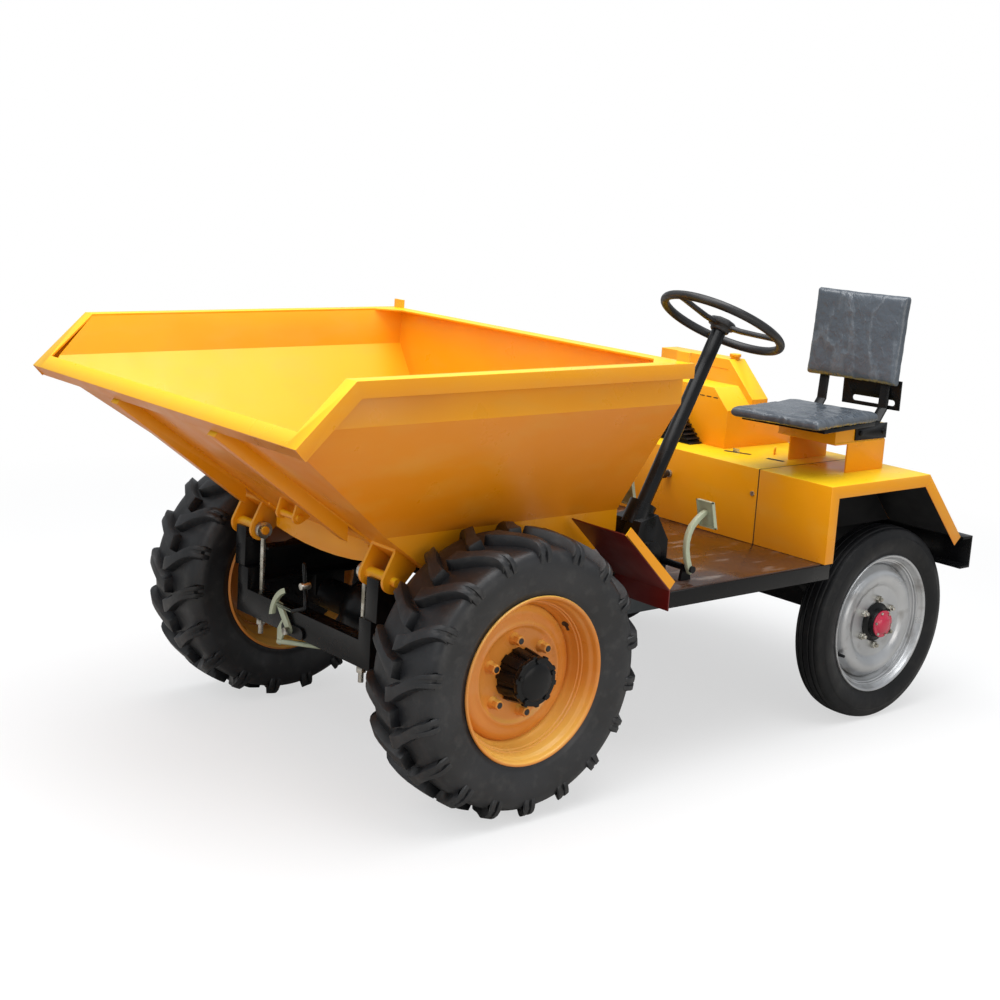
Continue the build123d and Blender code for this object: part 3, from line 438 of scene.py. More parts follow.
dark_steel = sprayed("dark_steel", "1A1A1C", "121214", "45413A", 0.35, 0.0)
nut = hexagon("wheel_nuts_left", DRIVE_MID + 0.0535, DRIVE_MID + 0.0728, 0.0235, DRIVE_X, NUT_Z)
stud_line = [(0.060, 0.0), (0.060, 0.0084), (0.0732, 0.0084), (0.0742, 0.0072), (0.0742, 0.0)]
stud = spun("wheel_studs_left", stud_line, DRIVE_X, DRIVE_MID, NUT_Z, 16)
for piece, material, slot in ((joined("wheel_nuts_left", nut, nut_seat), orange, "orange_paint"),
                              (stud, dark_steel, "black_paint")):
    around(turned_by(piece, 10, DRIVE_X, DRIVE_Z), 6, DRIVE_X, DRIVE_Z)
    smoothed(piece, 40)
    both_sides(piece, "front_wheel_left", material, slot)

# keyhole in the gutter for the valve: round, with a tail along the barrel; it lies on the barrel,
# which is flatter on its outer side than on its inner one
HOLE_R, HOLE_ANGLE, HOLE_Y, GUTTER_R = 0.0095, 143.4, 0.048, 0.1905
keyhole = [(HOLE_R * math.cos(math.radians(a)), HOLE_R * math.sin(math.radians(a)))
           for a in range(24, 337, 24)]
keyhole += [(0.0220, -0.0036), (0.0240, 0.0), (0.0220, 0.0036)]
opening_rings = []
for lift in (-0.0009, 0.0006):
    ring = [(math.radians(HOLE_ANGLE) + along / 0.19, HOLE_Y + across,
             GUTTER_R + (0.2 if across > 0 else 0.5) * across + lift) for along, across in keyhole]
    opening_rings.append([(DRIVE_X + r * math.cos(a), DRIVE_MID + y, DRIVE_Z + r * math.sin(a))
                          for a, y, r in ring])
opening = lofted("valve_opening_left", opening_rings)
both_sides(opening, "front_wheel_left", dark_steel, "black_paint")

# ---------------------------------------------------------------------------------------------
# Hubs of the drive wheels: black castings with ribs down the barrel and a scalloped flange
# that the axle shaft's cap bolts to.
# ---------------------------------------------------------------------------------------------
black = sprayed("black_enamel", "0A0B0C", "0E0F11", "1C1C1E", 0.26, 0.05, 0.22)
cast_line = [(-0.118, 0.0), (-0.118, 0.070), (-0.100, 0.070), (-0.090, 0.064), (0.042, 0.0665),
             (0.056, 0.0655), (0.103, 0.0580), (0.105, 0.0625), (0.107, 0.0640), (0.1185, 0.0645),
             (0.1210, 0.0630), (0.1214, 0.0510), (0.1240, 0.0480), (0.1262, 0.0450), (0.1275, 0.0300),
             (0.1300, 0.0180), (0.1300, 0.0)]
casting = spun("drive_hub_left", cast_line, DRIVE_X, DRIVE_MID, DRIVE_Z, 80)


def ring_of_boxes(name, y0, y1, r0, r1, half, taper, fall=0.0):
    """Ten blocks standing on a hub, from radius r0 to r1, where they are narrower by taper and lower
    by fall at their outer end: drawn once on top of it, then repeated round it."""
    first = lofted(name, [[(DRIVE_X + a * half * s, DRIVE_MID + y, DRIVE_Z + r - drop)
                           for a, y, drop in ((-1, y0, 0), (1, y0, 0), (1, y1, fall), (-1, y1, fall))]
                          for r, s in ((r0, 1.0), (r1, taper))])
    modify(first, "BEVEL", width=0.0015, segments=2)
    return around(turned_by(first, 8, DRIVE_X, DRIVE_Z), 10, DRIVE_X, DRIVE_Z)


ribs = ring_of_boxes("hub_ribs", 0.0450, 0.104, 0.054, 0.0722, 0.0140, 0.86, 0.0085)
bumps = ring_of_boxes("hub_bumps", 0.1085, 0.1205, 0.056, 0.0692, 0.0085, 0.66)
cap_bolt = hexagon("cap_bolts", DRIVE_MID + 0.1205, DRIVE_MID + 0.1260, 0.0120, DRIVE_X, DRIVE_Z + 0.0565)
around(cap_bolt, 5, DRIVE_X, DRIVE_Z)
drive_hub = joined("drive_hub_left", casting, ribs, bumps, cap_bolt)
smoothed(drive_hub, 35)
both_sides(drive_hub, "front_wheel_left", black, "black_paint", "front_hub_left")

# ---------------------------------------------------------------------------------------------
# Steered wheels: five-rib tyres on silver rims with a stepped well, a domed disc with a rolled
# ring, a black hub and its crimson dust cap.
# ---------------------------------------------------------------------------------------------
STEER_X, STEER_MID, STEER_Z = joint_places["rear_left_roll"]
tread_half = [(0.000, 0.3075), (0.0095, 0.3075), (0.0105, 0.3010), (0.0140, 0.3010), (0.0150, 0.3070),
              (0.0270, 0.3060), (0.0282, 0.2995), (0.0318, 0.2990), (0.0330, 0.3045), (0.0415, 0.3020),
              (0.0455, 0.2985), (0.0470, 0.2940), (0.0498, 0.2890), (0.0520, 0.2790), (0.0545, 0.2770),
              (0.0549, 0.2700), (0.0548, 0.2600), (0.0532, 0.2480), (0.0505, 0.2400), (0.0495, 0.2365),
              (0.0475, 0.2330), (0.0455, 0.2250), (0.0440, 0.2205), (0.0420, 0.2100)]
steer_line = tread_half + [(-y, r) for y, r in reversed(tread_half[1:])] + tread_half[:1]
steer_tyre = spun("steer_tyre_left", steer_line, STEER_X, STEER_MID, STEER_Z, 112)
modify(steer_tyre, "BEVEL", width=0.0012, segments=1, limit_method="ANGLE", angle_limit=math.radians(35))
smoothed(steer_tyre, 40)
clean_rubber = tyre_rubber("steer_rubber", "101113", "191A1C", "2E2D2B", 0.25)
both_sides(steer_tyre, "rear_wheel_left", clean_rubber, "tyre", "rear_tyre_left")

silver, tree, shader = finish("silver_enamel", 0.30, 0.75)
drift = drifting(tree, 6.0, 4, "C8CACC", "AEB0B2")
grime = spread(tree, mottle(tree, 16.0, 9), (0.55, 0.0), (0.74, 0.6))
tree.links.new(blended(tree, grime, drift, linear("6E6862")), shader.inputs["Base Color"])
patchy_gloss(tree, shader, 20.0, 6, (0.3, 0.26), (0.75, 0.5))
relief(tree, shader, (mottle(tree, 300.0, 2), 0.10, 0.0005), (mottle(tree, 26.0, 3), 0.10, 0.003))

well_line = [(0.0410, 0.2190), (0.0450, 0.2200), (0.0478, 0.2180), (0.0480, 0.2150), (0.0455, 0.2120),
             (0.0420, 0.2095), (0.0360, 0.2080), (0.0330, 0.2040), (0.0280, 0.2020), (0.0270, 0.1985),
             (0.0215, 0.1970), (0.0200, 0.1935), (0.0130, 0.1915), (0.0110, 0.1880), (0.0040, 0.1840),
             (-0.0060, 0.1800), (-0.0300, 0.1800), (-0.0330, 0.2000), (-0.0420, 0.2095), (-0.0455, 0.2120),
             (-0.0480, 0.2150), (-0.0450, 0.2200), (-0.0400, 0.2160), (-0.0350, 0.2090), (0.0350, 0.2090),
             (0.0400, 0.2160), (0.0410, 0.2190)]
well = spun("steer_rim_left", well_line, STEER_X, STEER_MID, STEER_Z, 128)
dish_line = [(-0.0060, 0.1815), (0.0040, 0.1812), (0.0100, 0.1765), (0.0160, 0.1722), (0.0225, 0.1690),
             (0.0290, 0.1642), (0.0325, 0.1575), (0.0340, 0.1500), (0.0334, 0.1410), (0.0310, 0.1320),
             (0.0272, 0.1232), (0.0228, 0.1176), (0.0204, 0.1140), (0.0200, 0.1080), (0.0200, 0.0420),
             (0.0160, 0.0420), (0.0160, 0.1160), (0.0225, 0.1250), (0.0285, 0.1400), (0.0300, 0.1500),
             (0.0250, 0.1600), (0.0100, 0.1700), (-0.0060, 0.1740), (-0.0060, 0.1815)]
dish = spun("dish", dish_line, STEER_X, STEER_MID, STEER_Z, 128)
steer_rim = joined("steer_rim_left", well, dish)
smoothed(steer_rim, 50)
both_sides(steer_rim, "rear_wheel_left", silver, "silver_paint", "rear_rim_left")

bright, tree, shader = finish("zinc_plate", 0.3, 0.9)
tree.links.new(drifting(tree, 30.0, 6, "D0CDC4", "8E8A7C", 0.4, 0.65), shader.inputs["Base Color"])
patchy_gloss(tree, shader, 60.0, 4, (0.35, 0.2), (0.7, 0.45))
relief(tree, shader, (mottle(tree, 180.0, 3), 0.1, 0.0006))

LUG_Z = STEER_Z + 0.074         # the first of the six stands above the axle
lug_nut = hexagon("steer_nuts_left", STEER_MID + 0.019, STEER_MID + 0.0330, 0.0200, STEER_X, LUG_Z)
lug_stud_line = [(0.030, 0.0), (0.030, 0.0062), (0.0410, 0.0062), (0.0420, 0.0050), (0.0420, 0.0)]
lug_stud = spun("lug_stud", lug_stud_line, STEER_X, STEER_MID, LUG_Z, 14)
lug_nuts = joined("steer_nuts_left", lug_nut, lug_stud)
around(lug_nuts, 6, STEER_X, STEER_Z)
smoothed(lug_nuts, 40)
both_sides(lug_nuts, "rear_wheel_left", bright, "zinc")

hub_line = [(-0.060, 0.0), (-0.060, 0.045), (0.020, 0.045), (0.0195, 0.0620), (0.0245, 0.0620),
            (0.0265, 0.0520), (0.0300, 0.0465), (0.0470, 0.0450), (0.0480, 0.0440), (0.0480, 0.0)]
steer_hub = spun("steer_hub_left", hub_line, STEER_X, STEER_MID, STEER_Z, 48)
smoothed(steer_hub, 40)
both_sides(steer_hub, "rear_wheel_left", black, "black_paint")

crimson = sprayed("crimson_enamel", "C01440", "A80F34", "D0607A", 0.25, 0.6)
cap_line = [(0.0475, 0.0), (0.0475, 0.0425), (0.0520, 0.0430), (0.0535, 0.0415), (0.0540, 0.0330),
            (0.0575, 0.0300), (0.0620, 0.0240), (0.0645, 0.0140), (0.0650, 0.0)]
dust_cap = spun("steer_cap_left", cap_line, STEER_X, STEER_MID, STEER_Z, 48)
smoothed(dust_cap, 40)
both_sides(dust_cap, "rear_wheel_left", crimson, "red_paint", "rear_cap_left")
cap_screw = hexagon("cap_screws_left", STEER_MID + 0.0530, STEER_MID + 0.0575, 0.0080,
                    STEER_X, STEER_Z + 0.0375)
around(turned_by(cap_screw, 20, STEER_X, STEER_Z), 6, STEER_X, STEER_Z)
both_sides(cap_screw, "rear_wheel_left", bright, "zinc")

stem_line = [(0.006, 0.0), (0.006, 0.0065), (0.030, 0.0048), (0.040, 0.0042), (0.041, 0.0)]
stem = spun("valve_stem_left", stem_line, STEER_X, STEER_MID, STEER_Z + 0.181, 14)
turned_by(stem, 118, STEER_X, STEER_Z)
smoothed(stem, 40)
both_sides(stem, "rear_wheel_left", clean_rubber, "tyre")

# ---------------------------------------------------------------------------------------------
# Chassis: channel rails, saddles, outriggers and the rear channel, welded and sprayed black,
# with the front beam bolted across and the axle casings hung below.
# ---------------------------------------------------------------------------------------------
for node, radius in (("frame_rails", 0.002), ("front_crossbeam", 0.004), ("front_axle", 0.004),
                     ("rear_axle", 0.003), ("knuckle_left", 0.002), ("knuckle_right", 0.002),
                     ("tie_rod", 0.0015), ("drag_link", 0.0015), ("drop_arm", 0.002)):
    rounded(node, radius, black, "black_paint")

# ---------------------------------------------------------------------------------------------
# Engine and gearbox: grey castings under the body, seen from behind and below, with the
# black ribbed louvre that the air leaves through.
# ---------------------------------------------------------------------------------------------
iron = sprayed("engine_enamel", "4A5054", "3C4144", "6A655A", 0.45, 0.1)
for node in ("driveline", "engine_block"):
    rounded(node, 0.006, iron, "engine_metal")
rounded("cooling_louvre", 0.001, black, "black_paint")

# ---------------------------------------------------------------------------------------------
# Rear body, fenders and engine hood: folded 3 mm sheet, yellow outside, with painted shade in near black
# in the wheel wells and under the body, a seam at the left fender, deck and hood slots drawn as black
# patches of painted shade, and small fittings on the wall and the deck.
# ---------------------------------------------------------------------------------------------


def brick(name, low, high, edge=0.0):
    """Block from one corner to the other, its edges eased."""
    deselect()
    bpy.ops.mesh.primitive_cube_add(size=1, location=[(a + b) / 2 for a, b in zip(low, high)])
    piece = bpy.context.object
    piece.name = name
    piece.scale = [b - a for a, b in zip(low, high)]
    bpy.ops.object.transform_apply(location=True, rotation=True, scale=True)
    if edge:
        modify(piece, "BEVEL", width=edge, segments=2)
    return piece


def pin(name, start, end, radius):
    """Round bar between two places."""
    deselect()
    start, end = Vector(start), Vector(end)
    bpy.ops.mesh.primitive_cylinder_add(vertices=20, radius=radius, depth=(end - start).length,
                                        location=(start + end) / 2)
    piece = bpy.context.object
    piece.name = name
    piece.rotation_euler = (end - start).to_track_quat("Z", "Y").to_euler()
    bpy.ops.object.transform_apply(location=True, rotation=True, scale=True)
    modify(piece, "BEVEL", width=min(0.001, radius * 0.25), segments=2, limit_method="ANGLE")
    return piece


def skin(node, name, keep, material, slot, thick=0.0006):
    """Coat of another colour on the faces of a node that pass a test of centre and normal."""
    piece = merged_copy(node, name)
    shell = bmesh.from_edit_mesh(piece.data)
    bmesh.ops.delete(shell, geom=[f for f in shell.faces if not keep(f.calc_center_median(), f.normal)],
                     context="FACES")
    bmesh.update_edit_mesh(piece.data)
    bpy.ops.object.mode_set(mode="OBJECT")
    modify(piece, "SOLIDIFY", thickness=thick, offset=1.0)
    fitted(piece, body_of[node], material, slot)


for node in ("rear_body", "fender_left", "fender_right", "engine_hood"):
    rounded(node, 0.0012, yellow, "paint")
shade_and_seam_black = sprayed("wheel_well_black", "101114", "0A0B0D", "2C2823", 0.6, 0.0)
LIP, CORE = 0.6585, 0.450       # the painted shade ends inside a fender's lip; its inner wall is nearer than CORE
# wheel wells coated near black: painted shade where the fender's inside lies in shade
for label, side in (("left", 1), ("right", -1)):
    skin(f"fender_{label}", f"wheel_well_{label}",
         lambda c, n: (n.z < -0.3 or n.x < -0.9 or (n.x > 0.5 and n.z < -0.1) or n.y * side < -0.9
                       or (n.y * side > 0.9 and abs(c.y) < CORE)) and abs(c.y) < LIP,
         shade_and_seam_black, "black_paint")
# the body's underside and lower rear faces coated near black as painted shade
skin("rear_body", "body_underside", lambda c, n: n.z < -0.3 or (n.x < -0.9 and c.z < 0.79),
     shade_and_seam_black, "black_paint")

# seam between body and left fender, and two slots in the deck drawn as black patches of painted shade
WALL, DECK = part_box("rear_body")[1].x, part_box("rear_body")[1].z
SEAM = (0.3752, 0.3788)
seam = brick("deck_seam", (-1.030, SEAM[0], DECK - 0.004), (WALL + 0.0004, SEAM[1], DECK + 0.0002))
seam_face = brick("wall_seam", (WALL - 0.004, SEAM[0], 0.546), (WALL + 0.0003, SEAM[1], DECK))
for name, x, y, length, turn in (("slot_long", -0.712, 0.150, 0.090, 20),
                                 ("slot_short", -0.735, 0.290, 0.060, 12)):
    slot = brick(name, (-length / 2, -0.009, -0.003), (length / 2, 0.009, 0.0006))
    slot.data.transform(Matrix.Translation((x, y, DECK)) @ Matrix.Rotation(math.radians(turn + 90), 4, "Z"))
    fitted(slot, "chassis", shade_and_seam_black, "black_paint")
fitted(joined("body_seams", seam, seam_face), "chassis", shade_and_seam_black, "black_paint")
# black knob on a plated collar, a bolt further out, a bent tab and a small ring on the deck
KNOB_Z, RING_R = 0.696, 0.012
knob = joined("wall_knob", pin("knob", (WALL, 0.0, KNOB_Z), (WALL + 0.022, 0.0, KNOB_Z), 0.009),
              pin("knob_head", (WALL + 0.020, 0.0, KNOB_Z), (WALL + 0.036, 0.0, KNOB_Z), 0.014))
fitted(knob, "chassis", dark_steel, "black_paint")
collar = pin("knob_collar", (WALL - 0.002, 0.0, KNOB_Z), (WALL + 0.008, 0.0, KNOB_Z), 0.0125)
wall_bolt = pin("wall_bolt", (WALL - 0.002, 0.358, 0.701), (WALL + 0.005, 0.358, 0.701), 0.0075)
tab = brick("bent_tab", (-0.712, 0.132, DECK), (-0.709, 0.158, DECK + 0.012), 0.0008)
fitted(joined("wall_fittings", collar, wall_bolt, tab), "chassis", bright, "zinc")
bpy.ops.mesh.primitive_torus_add(major_radius=RING_R, minor_radius=0.0026,
                                 location=(-0.811, 0.219, DECK + RING_R), rotation=(math.pi / 2, 0, 0.6))
deck_ring = bpy.context.object
deck_ring.name = "deck_ring"
bpy.ops.object.transform_apply(location=True, rotation=True, scale=True)
smoothed(deck_ring, 60)
fitted(deck_ring, "chassis", yellow, "paint")

# low hood: three short slots under its top edge, black patches of painted shade; tall hood: the lap of its front
# sheet
for i in range(3):
    start = -0.040 + 0.030 * i
    vent = brick(f"hood_slot_{i}", (-0.7192, start, 0.9370), (-0.7184, start + 0.020, 0.9400))
    fitted(vent, "chassis", shade_and_seam_black, "black_paint")
lap = brick("hood_lap", (-0.8340, -0.120, 1.0175), (-0.8328, -0.033, 1.0205), 0.0004)
fitted(lap, "chassis", yellow, "paint")

# ---------------------------------------------------------------------------------------------
# Operator's floor and kick plates: floor of brown-painted sheet, glossy and wet-looking, with pale streaks that
# are partly scuffs and partly a painted reflection, and two dark red primed plates whose yellow outer edges rise
# towards the skip.
# ---------------------------------------------------------------------------------------------
deck_paint, tree, shader = finish("floor_enamel", 0.3, coat=0.4)
drift = drifting(tree, 5.0, 6, "44281A", "301B12")
# pale streaks: partly scuffs, partly a painted reflection on the wet-looking paint
scuff_and_sheen = spread(tree, mottle(tree, 7.0, 9, (1.0, 3.0, 1.0)), (0.56, 0.0), (0.70, 0.55))
tree.links.new(blended(tree, scuff_and_sheen, drift, linear("9A9088")), shader.inputs["Base Color"])
patchy_gloss(tree, shader, 4.0, 8, (0.35, 0.10), (0.65, 0.5))
relief(tree, shader, (mottle(tree, 120.0, 3), 0.12, 0.0008), (mottle(tree, 10.0, 3), 0.2, 0.004))
rounded("floor_plate", 0.001, deck_paint, "floor_paint")
maroon = sprayed("maroon_primer", "6E120C", "4E0B08", "7A3A30", 0.42, 0.1)
for node in ("kick_plate_left", "kick_plate_right"):
    rounded(node, 0.0008, maroon, "primer")
# edge along the outer side of each plate, in the yellow: x and z of its corners
for name, side in (("kick_edge_left", 1), ("kick_edge_right", -1)):
    ends = ((0.072, 0.549), (0.254, 0.718), (0.236, 0.738), (0.054, 0.569))
    edge = lofted(name, [[(x, side * y, z) for x, z in ends] for y in (0.6465, 0.6500)])
    fitted(edge, "chassis", yellow, "paint")

# ---------------------------------------------------------------------------------------------
# Steering column: black tube on a cast gear housing bolted to the floor, with a cross shaft.
# ---------------------------------------------------------------------------------------------
rounded("steering_column", 0.004, black, "black_paint")
column_axis = next(joint["axis"] for joint in frame["joints"] if joint["name"] == "hand_wheel_turn")
column = (Matrix.Translation(joint_places["hand_wheel_turn"])
          @ Matrix.Rotation(math.atan2(column_axis[0], column_axis[2]), 4, "Y"))

# ---------------------------------------------------------------------------------------------
# Hand wheel: moulded black plastic over a steel ring, three ribbed spokes falling to a hub with
# an octagonal pad on top, pressed on the column's splines.
# ---------------------------------------------------------------------------------------------
grip, tree, shader = finish("grip_plastic", 0.4)
tree.links.new(drifting(tree, 18.0, 5, "161618", "242426", 0.4), shader.inputs["Base Color"])
patchy_gloss(tree, shader, 30.0, 4, (0.3, 0.32), (0.75, 0.55))
relief(tree, shader, (mottle(tree, 500.0, 2), 0.15, 0.0004))

deselect()
bpy.ops.mesh.primitive_torus_add(major_radius=0.177, minor_radius=0.0125, major_segments=96,
                                 minor_segments=20, location=(0, 0, 0.022))
hand_ring = bpy.context.object
bpy.ops.object.transform_apply(location=True, rotation=True, scale=True)


def spoke_section(r, half, z, edge, crest):
    """Flat underside, low edges and a raised middle, at a distance from the hub."""
    return [(r, half * a, z + b) for a, b in ((-1, 0), (-1, edge), (-0.45, crest), (0.45, crest),
                                              (1, edge), (1, 0))]


def ring_at(r, z, sides, phase=0.0):
    """Corners of a regular outline about the wheel's own axis."""
    turns = [math.radians(360 / sides * i + phase) for i in range(sides)]
    return [(r * math.cos(a), r * math.sin(a), z) for a in turns]


spokes = []
for turn in (-10, 110, 230):
    rise = [spoke_section(0.026, 0.016, 0.010, 0.009, 0.0135)]
    rise += [spoke_section(r, half, z, 0.008, 0.0125) for r, half, z in
             ((0.060, 0.0125, 0.009), (0.110, 0.0105, 0.012), (0.150, 0.0105, 0.015), (0.172, 0.0130, 0.016))]
    spoke = lofted("spoke", rise)
    spoke.data.transform(Matrix.Rotation(math.radians(turn), 4, "Z"))
    spokes.append(spoke)
boss = lofted("boss", [ring_at(r, z, 24) for r, z in
                       ((0.024, -0.004), (0.0275, -0.001), (0.0285, 0.006), (0.036, 0.012))])
pad = lofted("pad", [ring_at(r, z, 8, 22.5) for r, z in
                     ((0.036, 0.010), (0.041, 0.014), (0.041, 0.026), (0.034, 0.0315), (0.012, 0.033))])
hand_wheel = joined("hand_wheel", hand_ring, boss, pad, *spokes)
modify(hand_wheel, "BEVEL", width=0.0015, segments=2, limit_method="ANGLE", angle_limit=math.radians(35))
smoothed(hand_wheel, 38)
hand_wheel.data.transform(column)
fitted(hand_wheel, "hand_wheel", grip, "grip", "steering_wheel")

# ---------------------------------------------------------------------------------------------
# Pedals: two forged levers with a double bend on one cross shaft, each with a pressed rectangular
# pad whose rim stands up. Grey-green paint; the shaft and its lugs are black.
# ---------------------------------------------------------------------------------------------
sage = sprayed("grey_green_enamel", "B4BCA2", "A4AC90", "8C8A74", 0.4, 0.2)
FLOOR_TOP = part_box("floor_plate")[1].z
PEDAL_X, PEDAL_Z = -0.052, FLOOR_TOP + 0.036          # middle of the cross shaft
HALF_THICK = 0.0075                                   # of a lever, across the machine
FOOT, HEAD, PAD_HALF, RIM = 0.112, 0.190, 0.0305, (-0.0625, -0.0545)    # of a pad: heights, half width, rim
levers = []
for y in (0.280, 0.600):
    # stations up the lever: x and z of its middle, half its depth fore and aft
    path = ((-0.004, -0.013, 0.0085), (0.006, 0.008, 0.0085), (0.0145, 0.030, 0.0085),
            (0.0200, 0.055, 0.0080), (0.0210, 0.078, 0.0080), (0.0165, 0.100, 0.0082),
            (0.006, 0.121, 0.0082), (-0.012, 0.138, 0.0080), (-0.030, 0.150, 0.0075),
            (-0.048, 0.160, 0.0065))
    line = [Vector((PEDAL_X + x, 0, PEDAL_Z + z)) for x, z, _ in path]
    sections = []
    for i, point in enumerate(line):
        run = (line[min(i + 1, len(line) - 1)] - line[max(i - 1, 0)]).normalized()
        across = Vector((run.z, 0, -run.x)) * path[i][2]
        sections.append([(point.x + a * across.x, y + b * HALF_THICK, point.z + a * across.z)
                         for a, b in ((-1, -1), (1, -1), (1, 1), (-1, 1))])
    lever = lofted("lever", sections)
    modify(lever, "BEVEL", width=0.003, segments=2, limit_method="ANGLE", angle_limit=math.radians(50))
    # pressed pad: a plate whose foot is drawn back, with four strips standing round it
    face = lofted("pad", [[(PEDAL_X + x, y + half * v, PEDAL_Z + z)
                           for v in (-1, 1) for x, z in ((x0, FOOT), (x0 + 0.020, HEAD))[::v]]
                          for x0, half in ((-0.066, PAD_HALF - 0.0005), (-0.061, PAD_HALF))])
    levers += [lever, face]
    for y0, y1, z0, z1 in ((-PAD_HALF, 0.003 - PAD_HALF, FOOT, HEAD),
                           (PAD_HALF - 0.003, PAD_HALF, FOOT, HEAD),
                           (-PAD_HALF, PAD_HALF, FOOT, FOOT + 0.004),
                           (-PAD_HALF, PAD_HALF, HEAD - 0.004, HEAD)):
        strip = brick("rim", (RIM[0], y0, z0), (RIM[1], y1, z1))
        for corner in strip.data.vertices:
            corner.co.x += (corner.co.z - FOOT) * 0.256
            corner.co += Vector((PEDAL_X, y, PEDAL_Z))
        levers.append(strip)
shaft_line = [(0.266, 0.0), (0.266, 0.010), (0.614, 0.010), (0.614, 0.0)]
shaft = spun("pedal_shaft", shaft_line, PEDAL_X, 0.0, PEDAL_Z, 24)
lug_line = ((-0.020, FLOOR_TOP), (0.020, FLOOR_TOP), (0.012, PEDAL_Z + 0.012), (-0.012, PEDAL_Z + 0.012))
lugs = [lofted("lug", [[(PEDAL_X + x, y, z) for x, z in lug_line] for y in (y0, y0 + 0.010)])
        for y0 in (0.258, 0.578)]
pedal_set = joined("pedal_levers", *levers)
smoothed(pedal_set, 40)
fitted(pedal_set, "chassis", sage, "grey_green_paint", "pedals")
cross_shaft = joined("pedal_shaft", shaft, *lugs)
smoothed(cross_shaft, 40)
fitted(cross_shaft, "chassis", black, "black_paint")

# ---------------------------------------------------------------------------------------------
# Seat: two padded boards in dark vinyl, still in their clear wrapping film, on a black pan with
# flat steel bars behind, a slotted back plate, and a yellow folded box on the deck.
# ---------------------------------------------------------------------------------------------
seat_low, seat_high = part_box("seat_cushion")
SEAT_X, SEAT_Y = (seat_low.x + seat_high.x) / 2, (seat_low.y + seat_high.y) / 2
SEAT = Matrix.Translation((SEAT_X, SEAT_Y, 0)) @ Matrix.Rotation(math.radians(8), 4, "Z")
rounded("seat_stand", 0.001, yellow, "paint")
rounded("seat_frame", 0.001, black, "black_paint")

vinyl, tree, shader = finish("wrapped_vinyl", 0.25, specular=0.7)
folds = mottle(tree, 4.0, 5, (1.5, 1.0, 0.5))
creases = spread(tree, mottle(tree, 13.0, 5, (1.0, 0.6, 0.22)), (0.455, 0.0), (0.50, 1.0), (0.545, 0.0))
crinkles = spread(tree, mottle(tree, 30.0, 5, (0.9, 0.6, 0.3)), (0.46, 0.0), (0.50, 1.0), (0.54, 0.0))
shade = drifting(tree, 2.4, 3, "454C54", "555D66")
# pale lines along the film's creases: painted highlights
crease_highlight = blended(tree, creases, (0, 0, 0, 1), (0.07, 0.07, 0.07, 1))
tree.links.new(blended(tree, crease_highlight, shade, linear("C2C8CE")), shader.inputs["Base Color"])
tree.links.new(spread(tree, folds, (0.4, 0.22), (0.7, 0.34)), shader.inputs["Roughness"])
relief(tree, shader, (folds, 0.35, 0.008), (creases, 0.5, 0.0030), (crinkles, 0.35, 0.0012))
film_folds = bpy.data.textures.new("film_folds", "CLOUDS")
film_folds.noise_scale = 0.035
film_folds.noise_depth = 3


def cushion(name, half_x, half_y, z0, z1, place, node):
    """Pad blown up against its cover: a rounded board, inflated a little and cut back where it rests."""
    furthest, fill = 0.005, 0.8
    pad = lofted(name, [[(a * (half_x - inset), b * (half_y - inset), z)
                         for a, b in ((-1, -1), (1, -1), (1, 1), (-1, 1))]
                        for z, inset in ((z0 + 0.003, 0.008), (z0 + 0.010, 0.004),
                                         (z1 - 0.009, 0.004), (z1 - 0.002, 0.010))])
    modify(pad, "BEVEL", width=0.006, segments=2, limit_method="ANGLE", angle_limit=math.radians(40))
    modify(pad, "REMESH", mode="VOXEL", voxel_size=0.005)
    start = [vertex.co.copy() for vertex in pad.data.vertices]
    pick(pad)
    cloth = pad.modifiers.new("cloth", "CLOTH")
    cloth.settings.use_pressure = True
    cloth.settings.uniform_pressure_force = 4.0
    cloth.settings.effector_weights.gravity = 0.0
    for step in range(1, 21):
        bpy.context.scene.frame_set(step)
    bpy.ops.object.modifier_apply(modifier="cloth")
    bpy.context.scene.frame_set(1)
    for vertex, origin in zip(pad.data.vertices, start):
        moved = vertex.co - origin
        if moved.length > furthest:
            vertex.co = origin + moved.normalized() * furthest
        vertex.co.z = max(vertex.co.z, z0)
    modify(pad, "SUBSURF", levels=1, render_levels=1)
    modify(pad, "DISPLACE", texture=film_folds, strength=0.0030, mid_level=0.5)
    pad.data.transform(place)
    for face in pad.data.polygons:
        face.use_smooth = True
    fitted(pad, "chassis", vinyl, "vinyl", node)


cushion("seat_pad", 0.180, 0.164, 0.936, 0.966, SEAT, "seat_cushion")
# the back rest stands on its lower edge and leans back 9 mm in 100
BACK_HALF, BACK_Z, LEAN = 0.1446, 1.034, math.atan(0.09)
lower_edge = SEAT @ Matrix.Translation((-0.273, 0, BACK_Z)) @ Matrix.Rotation(math.pi / 2 - LEAN, 4, "Y")
cushion("back_pad", BACK_HALF, 0.168, 0.0, 0.036, lower_edge @ Matrix.Translation((-BACK_HALF, 0, 0)),
        "seat_back")

